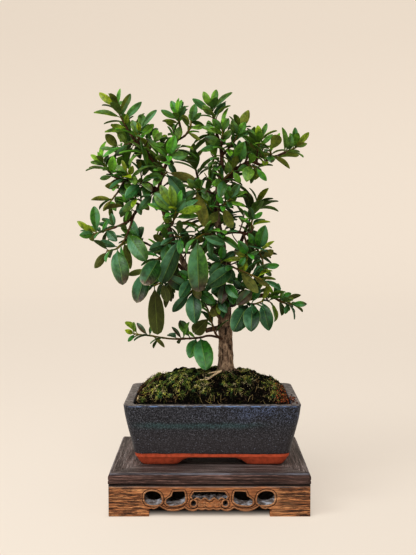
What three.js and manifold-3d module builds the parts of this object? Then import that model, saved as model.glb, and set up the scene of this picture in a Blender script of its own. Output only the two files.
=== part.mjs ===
// Scarlet firethorn bonsai in a glazed pot, on a carved wooden stand.
// Millimetres, +Z up, the front faces -Y.

import * as THREE from 'three';
import { mergeVertices } from 'three/addons/utils/BufferGeometryUtils.js';
import Module from 'manifold-3d';

const wasm = await Module();
wasm.setup();

// Driving dimensions of the stand
const STAND_WIDTH = 176;
const STAND_DEPTH = 136;
const APRON_HEIGHT = 27.6;
const APRON_THICK = 9;
const FOOT_INNER_X = 52.5;
const FOOT_INNER_Y = 36;
const FOOT_TOP = 5;
const BOARD_BOTTOM = 28;
const BOARD_TOP = 38.3;
const BOARD_BEVEL = 2.2;
const RAIL_WIDTH = 34;

// Driving dimensions of the pot
const POT_X = 2.5;
const POT_WIDTH = 157;
const POT_DEPTH = 111;
const POT_RIM_TOP = 94.9;
const POT_FOOT_BOTTOM = 38.6;
const POT_FOOT_HEIGHT = 5;
const GLAZE_BOTTOM = 49.6;
const POT_LAND = 9;
const POT_FLOOR = 50;
const DRAIN_RADIUS = 5;
const DRAIN_X = 28;

// Driving dimensions of the soil mound
const MOUND_RISE = 22.6;
const SOIL_GAP = 0.35;
const SOIL_BOTTOM = POT_FLOOR + SOIL_GAP;

// Clearance between neighbours, and the thickness of a blade at its midrib
const GAP = 0.35;
const BLADE_THICK = 1.2;

// The tree is laid out on an upright drawing through the trunk: one unit right (u) or up (w) is
// DRAWING_UNIT, from the middle of the stand's foot. A third number is the real depth (y) in mm.
// A point off the drawing's plane lies on the line of sight from EYE through its drawn place.
const DRAWING_UNIT = 0.9265;
const EYE = new THREE.Vector3(-1.3, -834, 256);

// Tones of a leaf: young, light, green, blue-green, underside shown, purple-brown
const Y = 'young';
const L = 'light';
const G = 'green';
const B = 'blue';
const O = 'under';
const P = 'purple';

// Trunk and limbs: points [u, w, y, radius in mm]
const TRUNK = [
  [17, 104, 1, 7.4], [17, 116, 1, 8.2], [17, 124, 0, 10.4], [16.5, 131, 0, 8.2], [16.5, 140, 0, 6.9],
  [16.5, 152, 0, 6.5], [16, 166, 0, 6.5], [15.5, 178, 0, 6.2], [15, 190, 0, 5.6], [13, 203, 2, 4.7],
  [12, 218, 4, 4.1], [14, 238, 5, 3.6], [11, 260, 3, 3.2], [7, 284, 1, 2.8], [8, 305, -1, 2.4],
  [12, 325, -2, 2.1], [12, 345, -2, 1.8], [8, 360, -1, 1.5], [6, 370, 0, 1.3],
];
const LIMBS = [
  // the main left limb, from the fork up to the crown's middle
  [[13, 176, 0, 4.2], [5, 191, -3, 3.6], [-6, 206, -6, 3.2], [-18, 222, -8, 2.9], [-30, 242, -8, 2.6],
    [-38, 262, -6, 2.4], [-45, 284, -5, 2.1], [-50, 304, -4, 1.9], [-46, 325, -2, 1.7],
    [-36, 346, 0, 1.5], [-28, 366, 0, 1.2]],
  // the arm that drops to the lower left
  [[-49, 300, -4, 1.8], [-56, 306, -3, 1.7], [-64, 297, -2, 1.6], [-72, 287, -2, 1.5],
    [-80, 276, -4, 1.3]],
  // the arm that rises to the upper left
  [[-46, 326, -2, 1.6], [-58, 338, -3, 1.5], [-66, 348, -4, 1.4], [-73, 355, -4, 1.3], [-76, 359, -4, 1.2]],
  // the arm to the left, under the upper one
  [[-50, 306, -4, 1.6], [-62, 314, 0, 1.5], [-72, 316, 2, 1.4], [-84, 317, 3, 1.3], [-95, 320, 2, 1.2]],
  // the right arm near the top
  [[10, 312, -2, 1.9], [20, 322, -3, 1.7], [30, 330, -4, 1.6], [41, 335, -4, 1.5], [52, 332, -4, 1.4],
    [59, 338, -4, 1.3], [68, 341, -4, 1.2]],
  // the right arm at half height
  [[11, 262, 3, 1.9], [20, 265, 0, 1.7], [30, 265, -3, 1.5], [38, 263, -6, 1.3]],
  // the low right branch
  [[15, 193, 0, 2.4], [28, 199, -5, 2], [41, 198, -8, 1.7], [52, 202, -6, 1.5], [61, 203, -6, 1.2]],
  // the cut stub
  [[15, 170, 0, 2.6], [4, 168, -4, 2.4], [-4, 166, -6, 2.2]],
  // limbs of the hidden side
  [[12, 222, 4, 2.6], [20, 236, 16, 2.2], [30, 252, 27, 1.8], [38, 272, 33, 1.4]],
  [[-10, 212, -6, 2.4], [-22, 224, 10, 2.2], [-38, 238, 24, 1.8], [-56, 250, 32, 1.4]],
  [[12, 248, 4, 2.2], [2, 268, 18, 1.9], [-8, 292, 30, 1.6], [-10, 312, 34, 1.3]],
  [[9, 308, -1, 1.8], [20, 318, 12, 1.6], [34, 330, 22, 1.3]],
  [[-44, 334, -1, 1.5], [-54, 342, 12, 1.4], [-68, 350, 20, 1.2]],
];
const ROOTS = [
  [[19, 128, 1, 4.6], [9, 122, -13, 1.8], [-2, 116, -23, 1.3], [-12, 108, -31, 0.9]],
  [[16, 128, 1, 4.6], [21, 118, -14, 2.2], [28, 108, -20, 1.1]],
  [[18, 127, 1, 5.4], [33, 121, 5, 2.6], [42, 114, 9, 1.4]],
  [[15, 127, 1, 5.2], [2, 121, 9, 2.6], [-8, 113, 14, 1.4]],
];

// Leafy shoots of the front: the twig's points [u, w, y], how many more leaves it has on its far
// side, and its leaves [tip u, tip w, root u, root w, seen width in units, tone]
const SPRAYS = [
  { name: 'top_left', far: 3,
    twig: [[-76, 359, -4], [-80, 365, -4], [-85, 374, -5], [-89, 382, -6], [-91, 388, -6]],
    leaves: [[-109, 403, -91, 387, 7, Y], [-88, 407, -91, 388, 4, L], [-100, 402, -91, 385, 4, B],
      [-78, 402, -89, 382, 7, Y], [-67, 394, -85, 375, 7, B], [-115, 383, -87, 378, 5, Y],
      [-81, 382, -83, 371, 5, Y], [-98, 371, -82, 368, 5, Y], [-104, 364, -80, 365, 4, Y]] },
  { name: 'upper_left_inner', far: 2,
    twig: [[-70, 352, -4], [-70, 360, -9], [-68, 367, -11]],
    leaves: [[-52, 386, -69, 366, 6, G], [-77, 376, -70, 360, 7, B], [-71, 374, -69, 364, 5, Y],
      [-55, 372, -69, 359, 7, G], [-62, 330, -70, 357, 5, L]] },
  { name: 'upper_left_right', far: 2,
    twig: [[-62, 343, -4], [-58, 350, -6], [-55, 355, -6]],
    leaves: [[-47, 364, -56, 354, 6, B], [-62, 366, -59, 350, 3, L], [-44, 352, -57, 351, 5, G]] },
  { name: 'upper_left_outer', far: 3,
    twig: [[-73, 355, -4], [-81, 352, 0], [-88, 349, 3], [-93, 347, 4]],
    leaves: [[-103, 362, -90, 349, 9, O], [-91, 364, -82, 352, 6, B], [-93, 341, -79, 352, 7, B],
      [-109, 348, -93, 347, 4, B], [-106, 339, -86, 350, 4, G]] },
  { name: 'left_tip', far: 3,
    twig: [[-95, 320, 2], [-101, 327, 1], [-105, 333, 0]],
    leaves: [[-118, 342, -105, 332, 5, Y], [-118, 334, -104, 330, 4, B], [-120, 329, -102, 327, 3, O],
      [-111, 345, -105, 333, 4, G], [-102, 355, -105, 333, 5, G], [-96, 341, -97, 322, 9, G],
      [-109, 318, -96, 321, 5, B]] },
  { name: 'left_under', far: 3,
    twig: [[-84, 317, 3], [-89, 308, -2], [-95, 300, -5], [-100, 294, -6]],
    leaves: [[-104, 311, -87, 311, 7, O], [-84, 299, -86, 313, 9, B], [-118, 297, -97, 298, 5, O],
      [-106, 286, -97, 298, 5, O], [-93, 286, -98, 296, 6, G],
      [-69, 301, -86, 312, 8, B]] },
  { name: 'left_top', far: 2,
    twig: [[-76, 316, 2], [-79, 320, -6], [-82, 324, -9]],
    leaves: [[-87, 337, -82, 323, 4, Y], [-76, 331, -80, 321, 6, Y], [-93, 331, -80, 321, 7, B],
      [-66, 328, -79, 319, 4, G]] },
  { name: 'left_inner', far: 2,
    twig: [[-68, 292, -2], [-75, 294, -9], [-83, 291, -12]],
    leaves: [[-105, 288, -83, 291, 5, O], [-90, 283, -77, 293, 7, B], [-68, 282, -72, 293, 6, B],
      [-86, 303, -80, 292, 6, G]] },
  { name: 'far_left', far: 4,
    twig: [[-82, 271, -4], [-94, 270, -6], [-106, 266, -7], [-116, 263, -8]],
    leaves: [[-115, 291, -113, 265, 10, G], [-132, 276, -115, 264, 6, Y], [-130, 262, -115, 263, 8, G],
      [-101, 277, -108, 266, 4, G], [-124, 272, -112, 264, 5, Y], [-92, 256, -103, 267, 9, B],
      [-98, 284, -95, 270, 6, B]] },
  { name: 'left_hanging', far: 2,
    twig: [[-75, 283, -3], [-79, 271, -12], [-85, 257, -16], [-92, 249, -20], [-103, 246, -20]],
    leaves: [[-87, 212, -92, 248, 17, G], [-115, 229, -102, 246, 8, O], [-110, 256, -90, 249, 7, B],
      [-63, 236, -82, 264, 16, G], [-79, 228, -85, 256, 8, O]] },
  { name: 'front_left_hanging', far: 2,
    twig: [[-30, 242, -8], [-40, 241, -18], [-50, 239, -25], [-58, 232, -28], [-65, 225, -28]],
    leaves: [[-66, 212, -51, 239, 18, B], [-73, 194, -64, 226, 16, G], [-82, 222, -62, 228, 6, O]] },
  { name: 'low_left_hanging', far: 3,
    twig: [[-18, 222, -8], [-32, 220, -20], [-45, 216, -28], [-56, 211, -31]],
    leaves: [[-52, 162, -55, 211, 16, O], [-42, 195, -47, 215, 9, O], [-44, 189, -35, 219, 7, O],
      [-70, 206, -55, 211, 6, G]] },
  { name: 'front_long_leaf', far: 1,
    twig: [[-36, 257, -6], [-33, 261, -22], [-28, 260, -35]],
    leaves: [[-48, 214, -29, 260, 16, B], [-54, 246, -34, 260, 6, O]] },
  { name: 'front_folded_leaf', far: 2,
    twig: [[11, 256, 4], [4, 262, -12], [-5, 263, -27], [-13, 259, -38]],
    leaves: [[-11, 205, -12, 259, 20, B], [16, 253, -8, 262, 8, B], [31, 246, 1, 262, 6, G],
      [2, 240, -2, 262, 6, B]] },
  { name: 'front_middle', far: 2,
    twig: [[12, 228, 4], [20, 231, -12], [26, 229, -20], [38, 224, -22], [54, 217, -22]],
    leaves: [[-2, 211, 24, 230, 16, B], [5, 230, 20, 231, 5, B], [49, 204, 30, 228, 10, O],
      [60, 211, 42, 222, 6, O], [72, 208, 54, 217, 5, B], [36, 240, 28, 228, 6, G]] },
  { name: 'below_fork', far: 2,
    twig: [[-6, 206, -6], [-12, 208, -16], [-20, 205, -21]],
    leaves: [[-14, 173, -17, 206, 16, B], [-37, 185, -19, 205, 9, B], [-43, 221, -19, 205, 13, B],
      [6, 194, -14, 207, 11, G]] },
  { name: 'right_of_fork', far: 2,
    twig: [[14, 206, 2], [20, 210, -9], [33, 210, -13], [46, 207, -15]],
    leaves: [[10, 196, 18, 209, 9, P], [24, 192, 22, 210, 10, G], [27, 192, 44, 207, 12, P]] },
  { name: 'low_right_hanging', far: 2,
    twig: [[36, 199, -7], [38, 194, -15], [45, 193, -18], [54, 196, -17]],
    leaves: [[24, 165, 39, 194, 18, B], [42, 165, 43, 193, 17, G], [60, 166, 53, 196, 14, B]] },
  { name: 'low_right_tip', far: 3,
    twig: [[61, 203, -6], [69, 197, -7], [76, 194, -8], [83, 193, -8]],
    leaves: [[98, 193, 82, 193, 6, G], [85, 199, 74, 195, 4, Y], [74, 206, 71, 196, 4, Y],
      [82, 204, 69, 197, 6, G], [92, 202, 73, 195, 5, O], [55, 214, 66, 200, 4, Y],
      [69, 214, 67, 199, 7, G], [76, 183, 79, 193, 5, G]] },
  { name: 'right_young', far: 3,
    twig: [[34, 264, -4], [37, 254, -12], [38, 246, -15], [38, 238, -17]],
    leaves: [[24, 246, 38, 240, 5, Y], [29, 257, 38, 243, 9, G], [15, 236, 38, 238, 5, Y],
      [31, 224, 38, 238, 9, Y], [50, 246, 38, 241, 4, L]] },
  { name: 'right_dark', far: 3,
    twig: [[38, 263, -6], [44, 256, -5], [48, 248, -5], [53, 238, -5], [54, 230, -5]],
    leaves: [[39, 264, 46, 252, 7, G], [56, 272, 49, 247, 13, G], [65, 256, 50, 245, 4, Y],
      [64, 247, 52, 239, 7, O], [42, 240, 52, 240, 5, B], [70, 232, 54, 230, 6, G],
      [44, 221, 54, 232, 8, B], [62, 221, 54, 230, 5, Y]] },
  { name: 'right_small', far: 2,
    twig: [[38, 263, -6], [43, 267, -5], [42, 273, -6], [43, 278, -6]],
    leaves: [[41, 290, 43, 277, 7, B], [61, 275, 42, 271, 3, Y], [29, 280, 42, 274, 4, G],
      [34, 287, 43, 277, 4, G], [53, 285, 43, 277, 5, G]] },
  { name: 'middle_right', far: 2,
    twig: [[8, 284, 1], [10, 288, -8], [15, 293, -14], [19, 296, -18], [21, 299, -20]],
    leaves: [[23, 269, 13, 291, 10, O], [1, 275, 10, 288, 9, O], [30, 313, 20, 297, 8, B],
      [20, 311, 18, 295, 7, G], [38, 305, 19, 297, 4, L], [36, 290, 17, 294, 4, L],
      [7, 303, 14, 292, 6, G]] },
  { name: 'upper_middle_under', far: 2,
    twig: [[8, 306, -1], [13, 315, -10], [18, 321, -13], [24, 327, -14]],
    leaves: [[10, 299, 15, 317, 10, B], [2, 312, 14, 316, 8, G], [31, 314, 23, 326, 6, G],
      [18, 335, 20, 323, 7, B]] },
  { name: 'right_arm_under', far: 2,
    twig: [[36, 333, -4], [40, 331, -12], [47, 329, -15]],
    leaves: [[37, 315, 40, 331, 12, B], [57, 316, 46, 329, 6, G], [28, 326, 38, 332, 6, G]] },
  { name: 'right_arm_crown', far: 2,
    twig: [[47, 333, -4], [47, 342, -8], [49, 350, -10], [50, 356, -10]],
    leaves: [[37, 368, 49, 352, 4, G], [48, 371, 50, 355, 7, Y], [57, 373, 50, 356, 5, L],
      [63, 362, 49, 350, 5, L], [42, 357, 47, 342, 7, O]] },
  { name: 'right_arm_inner', far: 2,
    twig: [[24, 325, -3], [27, 334, -10], [29, 338, -12]],
    leaves: [[35, 355, 28, 336, 13, G], [16, 343, 27, 335, 6, B]] },
  { name: 'right_arm_outer', far: 2,
    twig: [[59, 338, -4], [61, 342, -10], [60, 347, -12]],
    leaves: [[69, 361, 60, 346, 11, O], [80, 328, 61, 342, 5, O], [49, 340, 60, 343, 5, O]] },
  { name: 'right_tip', far: 3,
    twig: [[68, 341, -4], [77, 345, -5], [86, 349, -6]],
    leaves: [[72, 369, 74, 344, 5, G], [81, 362, 79, 346, 8, B], [85, 369, 85, 349, 6, G],
      [99, 364, 85, 348, 6, Y], [97, 353, 86, 349, 4, Y], [89, 341, 76, 344, 5, O]] },
  { name: 'top_right', far: 3,
    twig: [[12, 342, -2], [20, 349, -5], [26, 357, -7], [29, 366, -7]],
    leaves: [[39, 386, 29, 366, 9, O], [36, 374, 27, 360, 8, G], [22, 376, 27, 361, 8, B],
      [44, 366, 26, 357, 5, G]] },
  { name: 'top_middle_front', far: 2,
    twig: [[12, 346, -2], [12, 352, -11], [13, 360, -14], [13, 368, -14]],
    leaves: [[19, 388, 13, 368, 4, G], [19, 378, 13, 364, 6, L], [3, 377, 13, 366, 7, G],
      [22, 366, 13, 356, 7, B], [-5, 359, 12, 353, 9, B], [-9, 346, 12, 352, 6, L],
      [-9, 369, 13, 360, 5, B], [14, 352, 13, 364, 5, L]] },
  { name: 'top_middle', far: 3,
    twig: [[6, 370, 0], [4, 378, -3], [2, 387, -4]],
    leaves: [[-6, 404, 2, 387, 7, G], [7, 406, 2, 387, 7, G], [23, 403, 3, 384, 5, B],
      [16, 393, 4, 380, 7, B], [-17, 397, 3, 383, 7, B], [-7, 391, 4, 380, 7, B]] },
  { name: 'top_left_middle', far: 3,
    twig: [[-28, 366, 0], [-30, 374, -2], [-31, 380, -3]],
    leaves: [[-48, 386, -30, 376, 6, G], [-38, 395, -31, 379, 7, G], [-30, 398, -31, 380, 4, L],
      [-47, 375, -30, 373, 4, O], [-32, 356, -29, 371, 8, G], [-24, 390, -31, 378, 7, B]] },
  { name: 'top_inner', far: 2,
    twig: [[-32, 356, 0], [-24, 361, -8], [-19, 369, -10], [-18, 376, -10]],
    leaves: [[-14, 392, -18, 375, 8, B], [-8, 383, -18, 374, 5, G], [-9, 356, -22, 364, 4, O],
      [-5, 370, -20, 368, 5, G], [-27, 381, -19, 371, 6, O]] },
  { name: 'centre_left_crown', far: 2,
    twig: [[-41, 336, -1], [-43, 338, -12], [-40, 341, -17]],
    leaves: [[-34, 361, -41, 340, 11, G], [-63, 358, -43, 339, 6, L], [-21, 342, -41, 340, 9, B],
      [-28, 352, -42, 339, 4, Y], [-54, 339, -43, 338, 6, Y], [-12, 334, -41, 340, 4, Y],
      [-33, 322, -43, 337, 6, L]] },
  { name: 'centre_left_large', far: 2,
    twig: [[-47, 318, -3], [-44, 323, -14], [-42, 325, -18]],
    leaves: [[-24, 301, -43, 324, 13, B], [-14, 318, -43, 325, 8, O], [-60, 322, -45, 321, 6, G]] },
  { name: 'centre_rosette', far: 1,
    twig: [[-41, 270, -6], [-37, 273, -20], [-35, 280, -29], [-33, 287, -35]],
    leaves: [[-49, 312, -33, 286, 9, Y], [-39, 312, -33, 287, 8, Y], [-55, 304, -34, 283, 11, G],
      [-28, 307, -33, 286, 6, G], [-24, 297, -33, 286, 8, B], [-11, 297, -34, 283, 6, B],
      [-7, 290, -34, 284, 8, Y], [-11, 281, -35, 279, 6, G], [-47, 281, -36, 275, 8, Y],
      [-54, 267, -37, 273, 6, G], [-62, 293, -35, 279, 5, G], [-9, 269, -37, 273, 4, Y],
      [-21, 262, -38, 272, 5, L]] },
  { name: 'centre_dark', far: 1,
    twig: [[8, 302, -1], [-3, 306, -10], [-13, 308, -16]],
    leaves: [[-4, 270, -13, 308, 12, O], [-28, 296, -12, 308, 9, B], [-1, 296, -7, 307, 7, B],
      [-22, 318, -13, 308, 7, G]] },
  { name: 'low_left', far: 3,
    twig: [[13, 157, 0], [1, 161, -5], [-10, 159, -7], [-25, 158, -8], [-40, 158, -8], [-59, 161, -8],
      [-69, 162, -9], [-76, 163, -9]],
    leaves: [[-76, 175, -76, 163, 4, Y], [-85, 167, -76, 163, 5, Y], [-82, 155, -75, 163, 4, G],
      [-73, 174, -62, 161, 5, P], [-59, 171, -60, 161, 3, L], [-45, 149, -57, 161, 4, O],
      [-38, 170, -28, 158, 4, P], [-20, 175, -26, 158, 4, L], [-20, 138, -13, 159, 13, G],
      [-3, 126, -9, 159, 19, G], [-22, 166, -14, 159, 3, L]] },
  { name: 'red_stem', far: 2,
    twig: [[13, 156, 0], [7, 162, -12], [2, 176, -14], [-1, 186, -14], [-4, 192, -15]],
    leaves: [[-15, 164, 1, 180, 14, O], [-13, 197, -3, 189, 5, L]] },
];

// Leafy shoots of the hidden side: name, root and tip of the twig [u, w, y], how many leaves
const FAR_SPRAYS = [
  ['far_right_middle', [38, 272, 33], [48, 292, 42], 11],
  ['far_right_low', [30, 252, 27], [48, 238, 40], 10],
  ['far_left_middle', [-56, 250, 32], [-76, 256, 40], 11],
  ['far_left_low', [-38, 238, 24], [-46, 214, 40], 10],
  ['far_centre_top', [-10, 312, 34], [-16, 334, 42], 11],
  ['far_centre', [-8, 292, 30], [8, 284, 50], 10],
  ['far_top_right', [34, 330, 22], [44, 350, 34], 10],
  ['far_top_left', [-68, 350, 20], [-80, 364, 30], 10],
];

// Small helpers on vectors, and the even draw that every random choice is taken from
const draw = (i) => {
  const s = Math.sin(i * 12.9898 + 4.1414) * 43758.5453;
  return s - Math.floor(s);
};
const clamp = (v, low, high) => Math.min(high, Math.max(low, v));

// The point at depth y that stands at (u, w) on the drawing
function place(u, w, y) {
  const k = (y - EYE.y) / -EYE.y;
  return new THREE.Vector3(
    EYE.x + (u * DRAWING_UNIT - EYE.x) * k, y, EYE.z + (w * DRAWING_UNIT - EYE.z) * k);
}

// Geometry from flat lists of points and triangles, and the solid that it bounds
function geometryOf(points, triangles) {
  const geometry = new THREE.BufferGeometry();
  geometry.setAttribute('position', new THREE.Float32BufferAttribute(points, 3));
  geometry.setIndex(triangles);
  return geometry;
}
function solidOf(geometry) {
  const bare = geometry.clone();
  bare.deleteAttribute('normal');
  bare.deleteAttribute('uv');
  const merged = mergeVertices(bare, 1e-4);
  return new wasm.Manifold(new wasm.Mesh({
    numProp: 3,
    vertProperties: new Float32Array(merged.attributes.position.array),
    triVerts: new Uint32Array(merged.index.array),
  }));
}
function joined(solids) {
  return solids.reduce((whole, next) => whole.add(next));
}

// The largest of the loose bodies that a solid falls into
function largestBody(solid) {
  const bodies = solid.decompose();
  return bodies.reduce((best, next) => (next.volume() > best.volume() ? next : best));
}

// A closed tube along points with a radius at each, its rings carried along without twist.
// swell(angle, ring) scales the radius, for bark and root flare.
function tube(points, radii, sides, swell = () => 1) {
  const coords = [];
  const triangles = [];
  let across = null;
  points.forEach((point, i) => {
    const before = points[Math.max(0, i - 1)];
    const after = points[Math.min(points.length - 1, i + 1)];
    const along = after.clone().sub(before).normalize();
    const start = across ?? new THREE.Vector3(0.3, 1, 0.2);
    across = start.clone().addScaledVector(along, -start.dot(along)).normalize();
    const other = along.clone().cross(across);
    for (let j = 0; j < sides; j += 1) {
      const angle = (2 * Math.PI * j) / sides;
      const r = radii[i] * swell(angle, i);
      coords.push(...point.clone().addScaledVector(across, r * Math.cos(angle))
        .addScaledVector(other, r * Math.sin(angle)).toArray());
    }
  });
  for (let i = 0; i < points.length - 1; i += 1) {
    for (let j = 0; j < sides; j += 1) {
      const a = i * sides + j;
      const b = i * sides + ((j + 1) % sides);
      triangles.push(a, b, b + sides, a, b + sides, a + sides);
    }
  }
  const top = (points.length - 1) * sides;
  for (let j = 1; j < sides - 1; j += 1) {
    triangles.push(0, j + 1, j);
    triangles.push(top, top + j, top + j + 1);
  }
  return geometryOf(coords, triangles);
}

// A closed solid through level rounded rectangles, each { z, x, y, r } with half sizes x and y
function roundedLoft(levels, centreX, cornerSteps) {
  const coords = [];
  const triangles = [];
  const corners = [[1, 1], [-1, 1], [-1, -1], [1, -1]];
  const ring = corners.length * (cornerSteps + 1);
  levels.forEach(({ z, x, y, r }) => {
    corners.forEach(([sx, sy], c) => {
      for (let k = 0; k <= cornerSteps; k += 1) {
        const angle = (Math.PI / 2) * (c + k / cornerSteps);
        coords.push(centreX + sx * (x - r) + r * Math.cos(angle), sy * (y - r) + r * Math.sin(angle), z);
      }
    });
  });
  for (let i = 0; i < levels.length - 1; i += 1) {
    for (let j = 0; j < ring; j += 1) {
      const a = i * ring + j;
      const b = i * ring + ((j + 1) % ring);
      triangles.push(a, b, b + ring, a, b + ring, a + ring);
    }
  }
  const top = (levels.length - 1) * ring;
  for (let j = 1; j < ring - 1; j += 1) {
    triangles.push(0, j + 1, j);
    triangles.push(top, top + j, top + j + 1);
  }
  return geometryOf(coords, triangles);
}

// The stand's board edge, as [inset from the widest outline, height]
const BOARD_EDGE = [
  [0.8, BOARD_BOTTOM], [0, BOARD_BOTTOM + 1.6], [0, BOARD_TOP - 3.6],
  [BOARD_BEVEL * 0.45, BOARD_TOP - 1], [BOARD_BEVEL, BOARD_TOP],
];

// One rail of the mitred top: its edge profile carried along its length, with 45 degree ends
function rail(length, depth) {
  const outline = [...BOARD_EDGE, [RAIL_WIDTH, BOARD_TOP], [RAIL_WIDTH, BOARD_BOTTOM]];
  const n = outline.length;
  const coords = [];
  const triangles = [];
  const mitreGap = GAP * Math.SQRT1_2;
  [-1, 1].forEach((end) => {
    outline.forEach(([inset, z]) => coords.push(end * (length / 2 - inset - mitreGap), inset - depth / 2, z));
  });
  for (let j = 0; j < n; j += 1) {
    const k = (j + 1) % n;
    triangles.push(j, n + k, k, j, n + j, n + k);
  }
  const face = outline.map(([inset, z]) => new THREE.Vector2(inset, z));
  THREE.ShapeUtils.triangulateShape(face, []).forEach(([a, b, c]) => {
    triangles.push(a, c, b);
    triangles.push(n + a, n + b, n + c);
  });
  return geometryOf(coords, triangles);
}

// One step of a scalloped edge: a bow from the path's end over a low point to a cusp
function bow(path, lowX, lowZ, endX, endZ) {
  const { x, y } = path.currentPoint;
  path.quadraticCurveTo(2 * lowX - (x + endX) / 2, 2 * lowZ - (y + endZ) / 2, endX, endZ);
}

// Lower edge of an apron from the left foot to the right one. half is the feet's inner edge, and
// bows holds the scallops of the left half, [low x, low z, cusp x, cusp z].
function lowerEdge(shape, half, bows, middleLow) {
  const mirrored = [...bows].reverse();
  shape.lineTo(-half, 0);
  shape.lineTo(-half, FOOT_TOP - 1);
  shape.lineTo(-half - 2, FOOT_TOP + 0.8);
  shape.lineTo(-half + 2, FOOT_TOP + 2.1);
  bows.forEach(([lowX, lowZ, cuspX, cuspZ]) => bow(shape, lowX, lowZ, cuspX, cuspZ));
  bow(shape, 0, middleLow, -mirrored[0][2], mirrored[0][3]);
  mirrored.forEach(([lowX, lowZ], i) => {
    const next = mirrored[i + 1] ?? [0, 0, 2 - half, FOOT_TOP + 2.1];
    bow(shape, -lowX, lowZ, -next[2], next[3]);
  });
  shape.lineTo(half + 2, FOOT_TOP + 0.8);
  shape.lineTo(half, FOOT_TOP - 1);
  shape.lineTo(half, 0);
}

// Holes of the fretwork, each an outline in the apron's own (x, z)
function ellipseHole(x, z, halfWide, halfHigh, lean) {
  const hole = new THREE.Path();
  hole.absellipse(x, z, halfWide, halfHigh, 0, 2 * Math.PI, true, lean);
  return hole;
}
function cloudHole(side) {
  const hole = new THREE.Path();
  hole.moveTo(side * 31.5, 21.8);
  hole.lineTo(side * 22.4, 22.1);
  hole.quadraticCurveTo(side * 20.6, 19.5, side * 21.6, 16);
  hole.quadraticCurveTo(side * 25, 12.9, side * 33.5, 12.7);
  hole.quadraticCurveTo(side * 38, 14.2, side * 36.6, 16.9);
  hole.lineTo(side * 32.7, 18.3);
  hole.lineTo(side * 31.5, 21.8);
  return hole;
}
function slotHole() {
  const hole = new THREE.Path();
  hole.moveTo(-13, 21.7);
  hole.lineTo(13, 21.7);
  hole.lineTo(15, 19.4);
  hole.lineTo(12.4, 17.6);
  [9.3, 3.1, -3.1, -9.3].forEach((x) => bow(hole, x, 18.9, x - 3.1, 17.6));
  hole.lineTo(-15, 19.4);
  hole.lineTo(-13, 21.7);
  return hole;
}
const LONG_BOWS = [[-47.3, 6.5, -43.3, 9], [-33, 4.6, -21.3, 7.4], [-15.5, 4.6, -9.9, 6.4],
  [-6.6, 5.4, -3.3, 6.4]];
const SHORT_BOWS = [[-26, 5, -17.5, 7.6], [-13, 4.7, -8.2, 6.4]];

// A board cut to shape, standing on its feet, its ends mitred: outline and holes pushed through
function apron(length, half, bows, middleLow, holes) {
  const shape = new THREE.Shape();
  shape.moveTo(-length / 2, APRON_HEIGHT);
  shape.lineTo(-length / 2, 0);
  lowerEdge(shape, half, bows, middleLow);
  shape.lineTo(length / 2, 0);
  shape.lineTo(length / 2, APRON_HEIGHT);
  shape.holes = holes;
  const geometry = new THREE.ExtrudeGeometry(shape, {
    depth: APRON_THICK,
    bevelEnabled: false,
    curveSegments: 3,
  });
  geometry.rotateX(Math.PI / 2);
  geometry.translate(0, APRON_THICK, 0);
  const mitre = (length * Math.SQRT1_2 - GAP) / 2;
  return solidOf(geometry)
    .trimByPlane([Math.SQRT1_2, -Math.SQRT1_2, 0], -mitre)
    .trimByPlane([-Math.SQRT1_2, -Math.SQRT1_2, 0], -mitre);
}

// The pot: a tapered box with rounded corners, hollowed, on four corner feet
const potLevel = (z, x, y, r) => ({ z, x, y, r });
function pot() {
  const x = POT_WIDTH / 2;
  const y = POT_DEPTH / 2;
  const outer = solidOf(roundedLoft([
    potLevel(POT_FOOT_BOTTOM, x - 15.6, y - 15.6, 6),
    potLevel(POT_FOOT_BOTTOM + 1.2, x - 14.2, y - 14.2, 6.5),
    potLevel(POT_FOOT_BOTTOM + 8.5, x - 9.8, y - 9.8, 7),
    potLevel(GLAZE_BOTTOM, x - 9.1, y - 9.1, 7),
    potLevel(POT_RIM_TOP - 1.6, x - 0.2, y - 0.2, 8),
    potLevel(POT_RIM_TOP - 0.5, x, y, 8),
    potLevel(POT_RIM_TOP, x - 0.8, y - 0.8, 7.2),
  ], POT_X, 4));
  const cavity = solidOf(roundedLoft([
    potLevel(POT_FLOOR, x - 17, y - 17, 5),
    potLevel(POT_RIM_TOP - 1, x - POT_LAND, y - POT_LAND, 5),
    potLevel(POT_RIM_TOP + 1, x - POT_LAND + 1, y - POT_LAND + 1, 6),
  ], POT_X, 3));
  const arch = (halfBottom, halfTop, length, turn) => {
    const low = POT_FOOT_BOTTOM - 1;
    const high = POT_FOOT_BOTTOM + POT_FOOT_HEIGHT;
    const shape = new THREE.Shape();
    shape.moveTo(-halfBottom, low);
    shape.lineTo(halfBottom, low);
    shape.quadraticCurveTo(halfBottom - 4, high - 1, halfTop, high);
    shape.lineTo(-halfTop, high);
    shape.quadraticCurveTo(4 - halfBottom, high - 1, -halfBottom, low);
    const geometry = new THREE.ExtrudeGeometry(shape, {
      depth: length,
      bevelEnabled: false,
      curveSegments: 3,
    });
    geometry.rotateX(Math.PI / 2);
    geometry.translate(0, length / 2, 0);
    geometry.rotateZ(turn);
    geometry.translate(POT_X, 0, 0);
    return solidOf(geometry);
  };
  const drains = [-DRAIN_X, DRAIN_X].map((dx) => {
    const drill = new THREE.CylinderGeometry(DRAIN_RADIUS, DRAIN_RADIUS, 30, 12);
    drill.rotateX(Math.PI / 2);
    drill.translate(POT_X + dx, 0, POT_FLOOR - 5);
    return solidOf(drill);
  });
  const cuts = [cavity, arch(33, 22, POT_DEPTH, 0), arch(20, 12, POT_WIDTH, Math.PI / 2), ...drains];
  return cuts.reduce((body, cut) => body.subtract(cut), outer);
}

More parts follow.
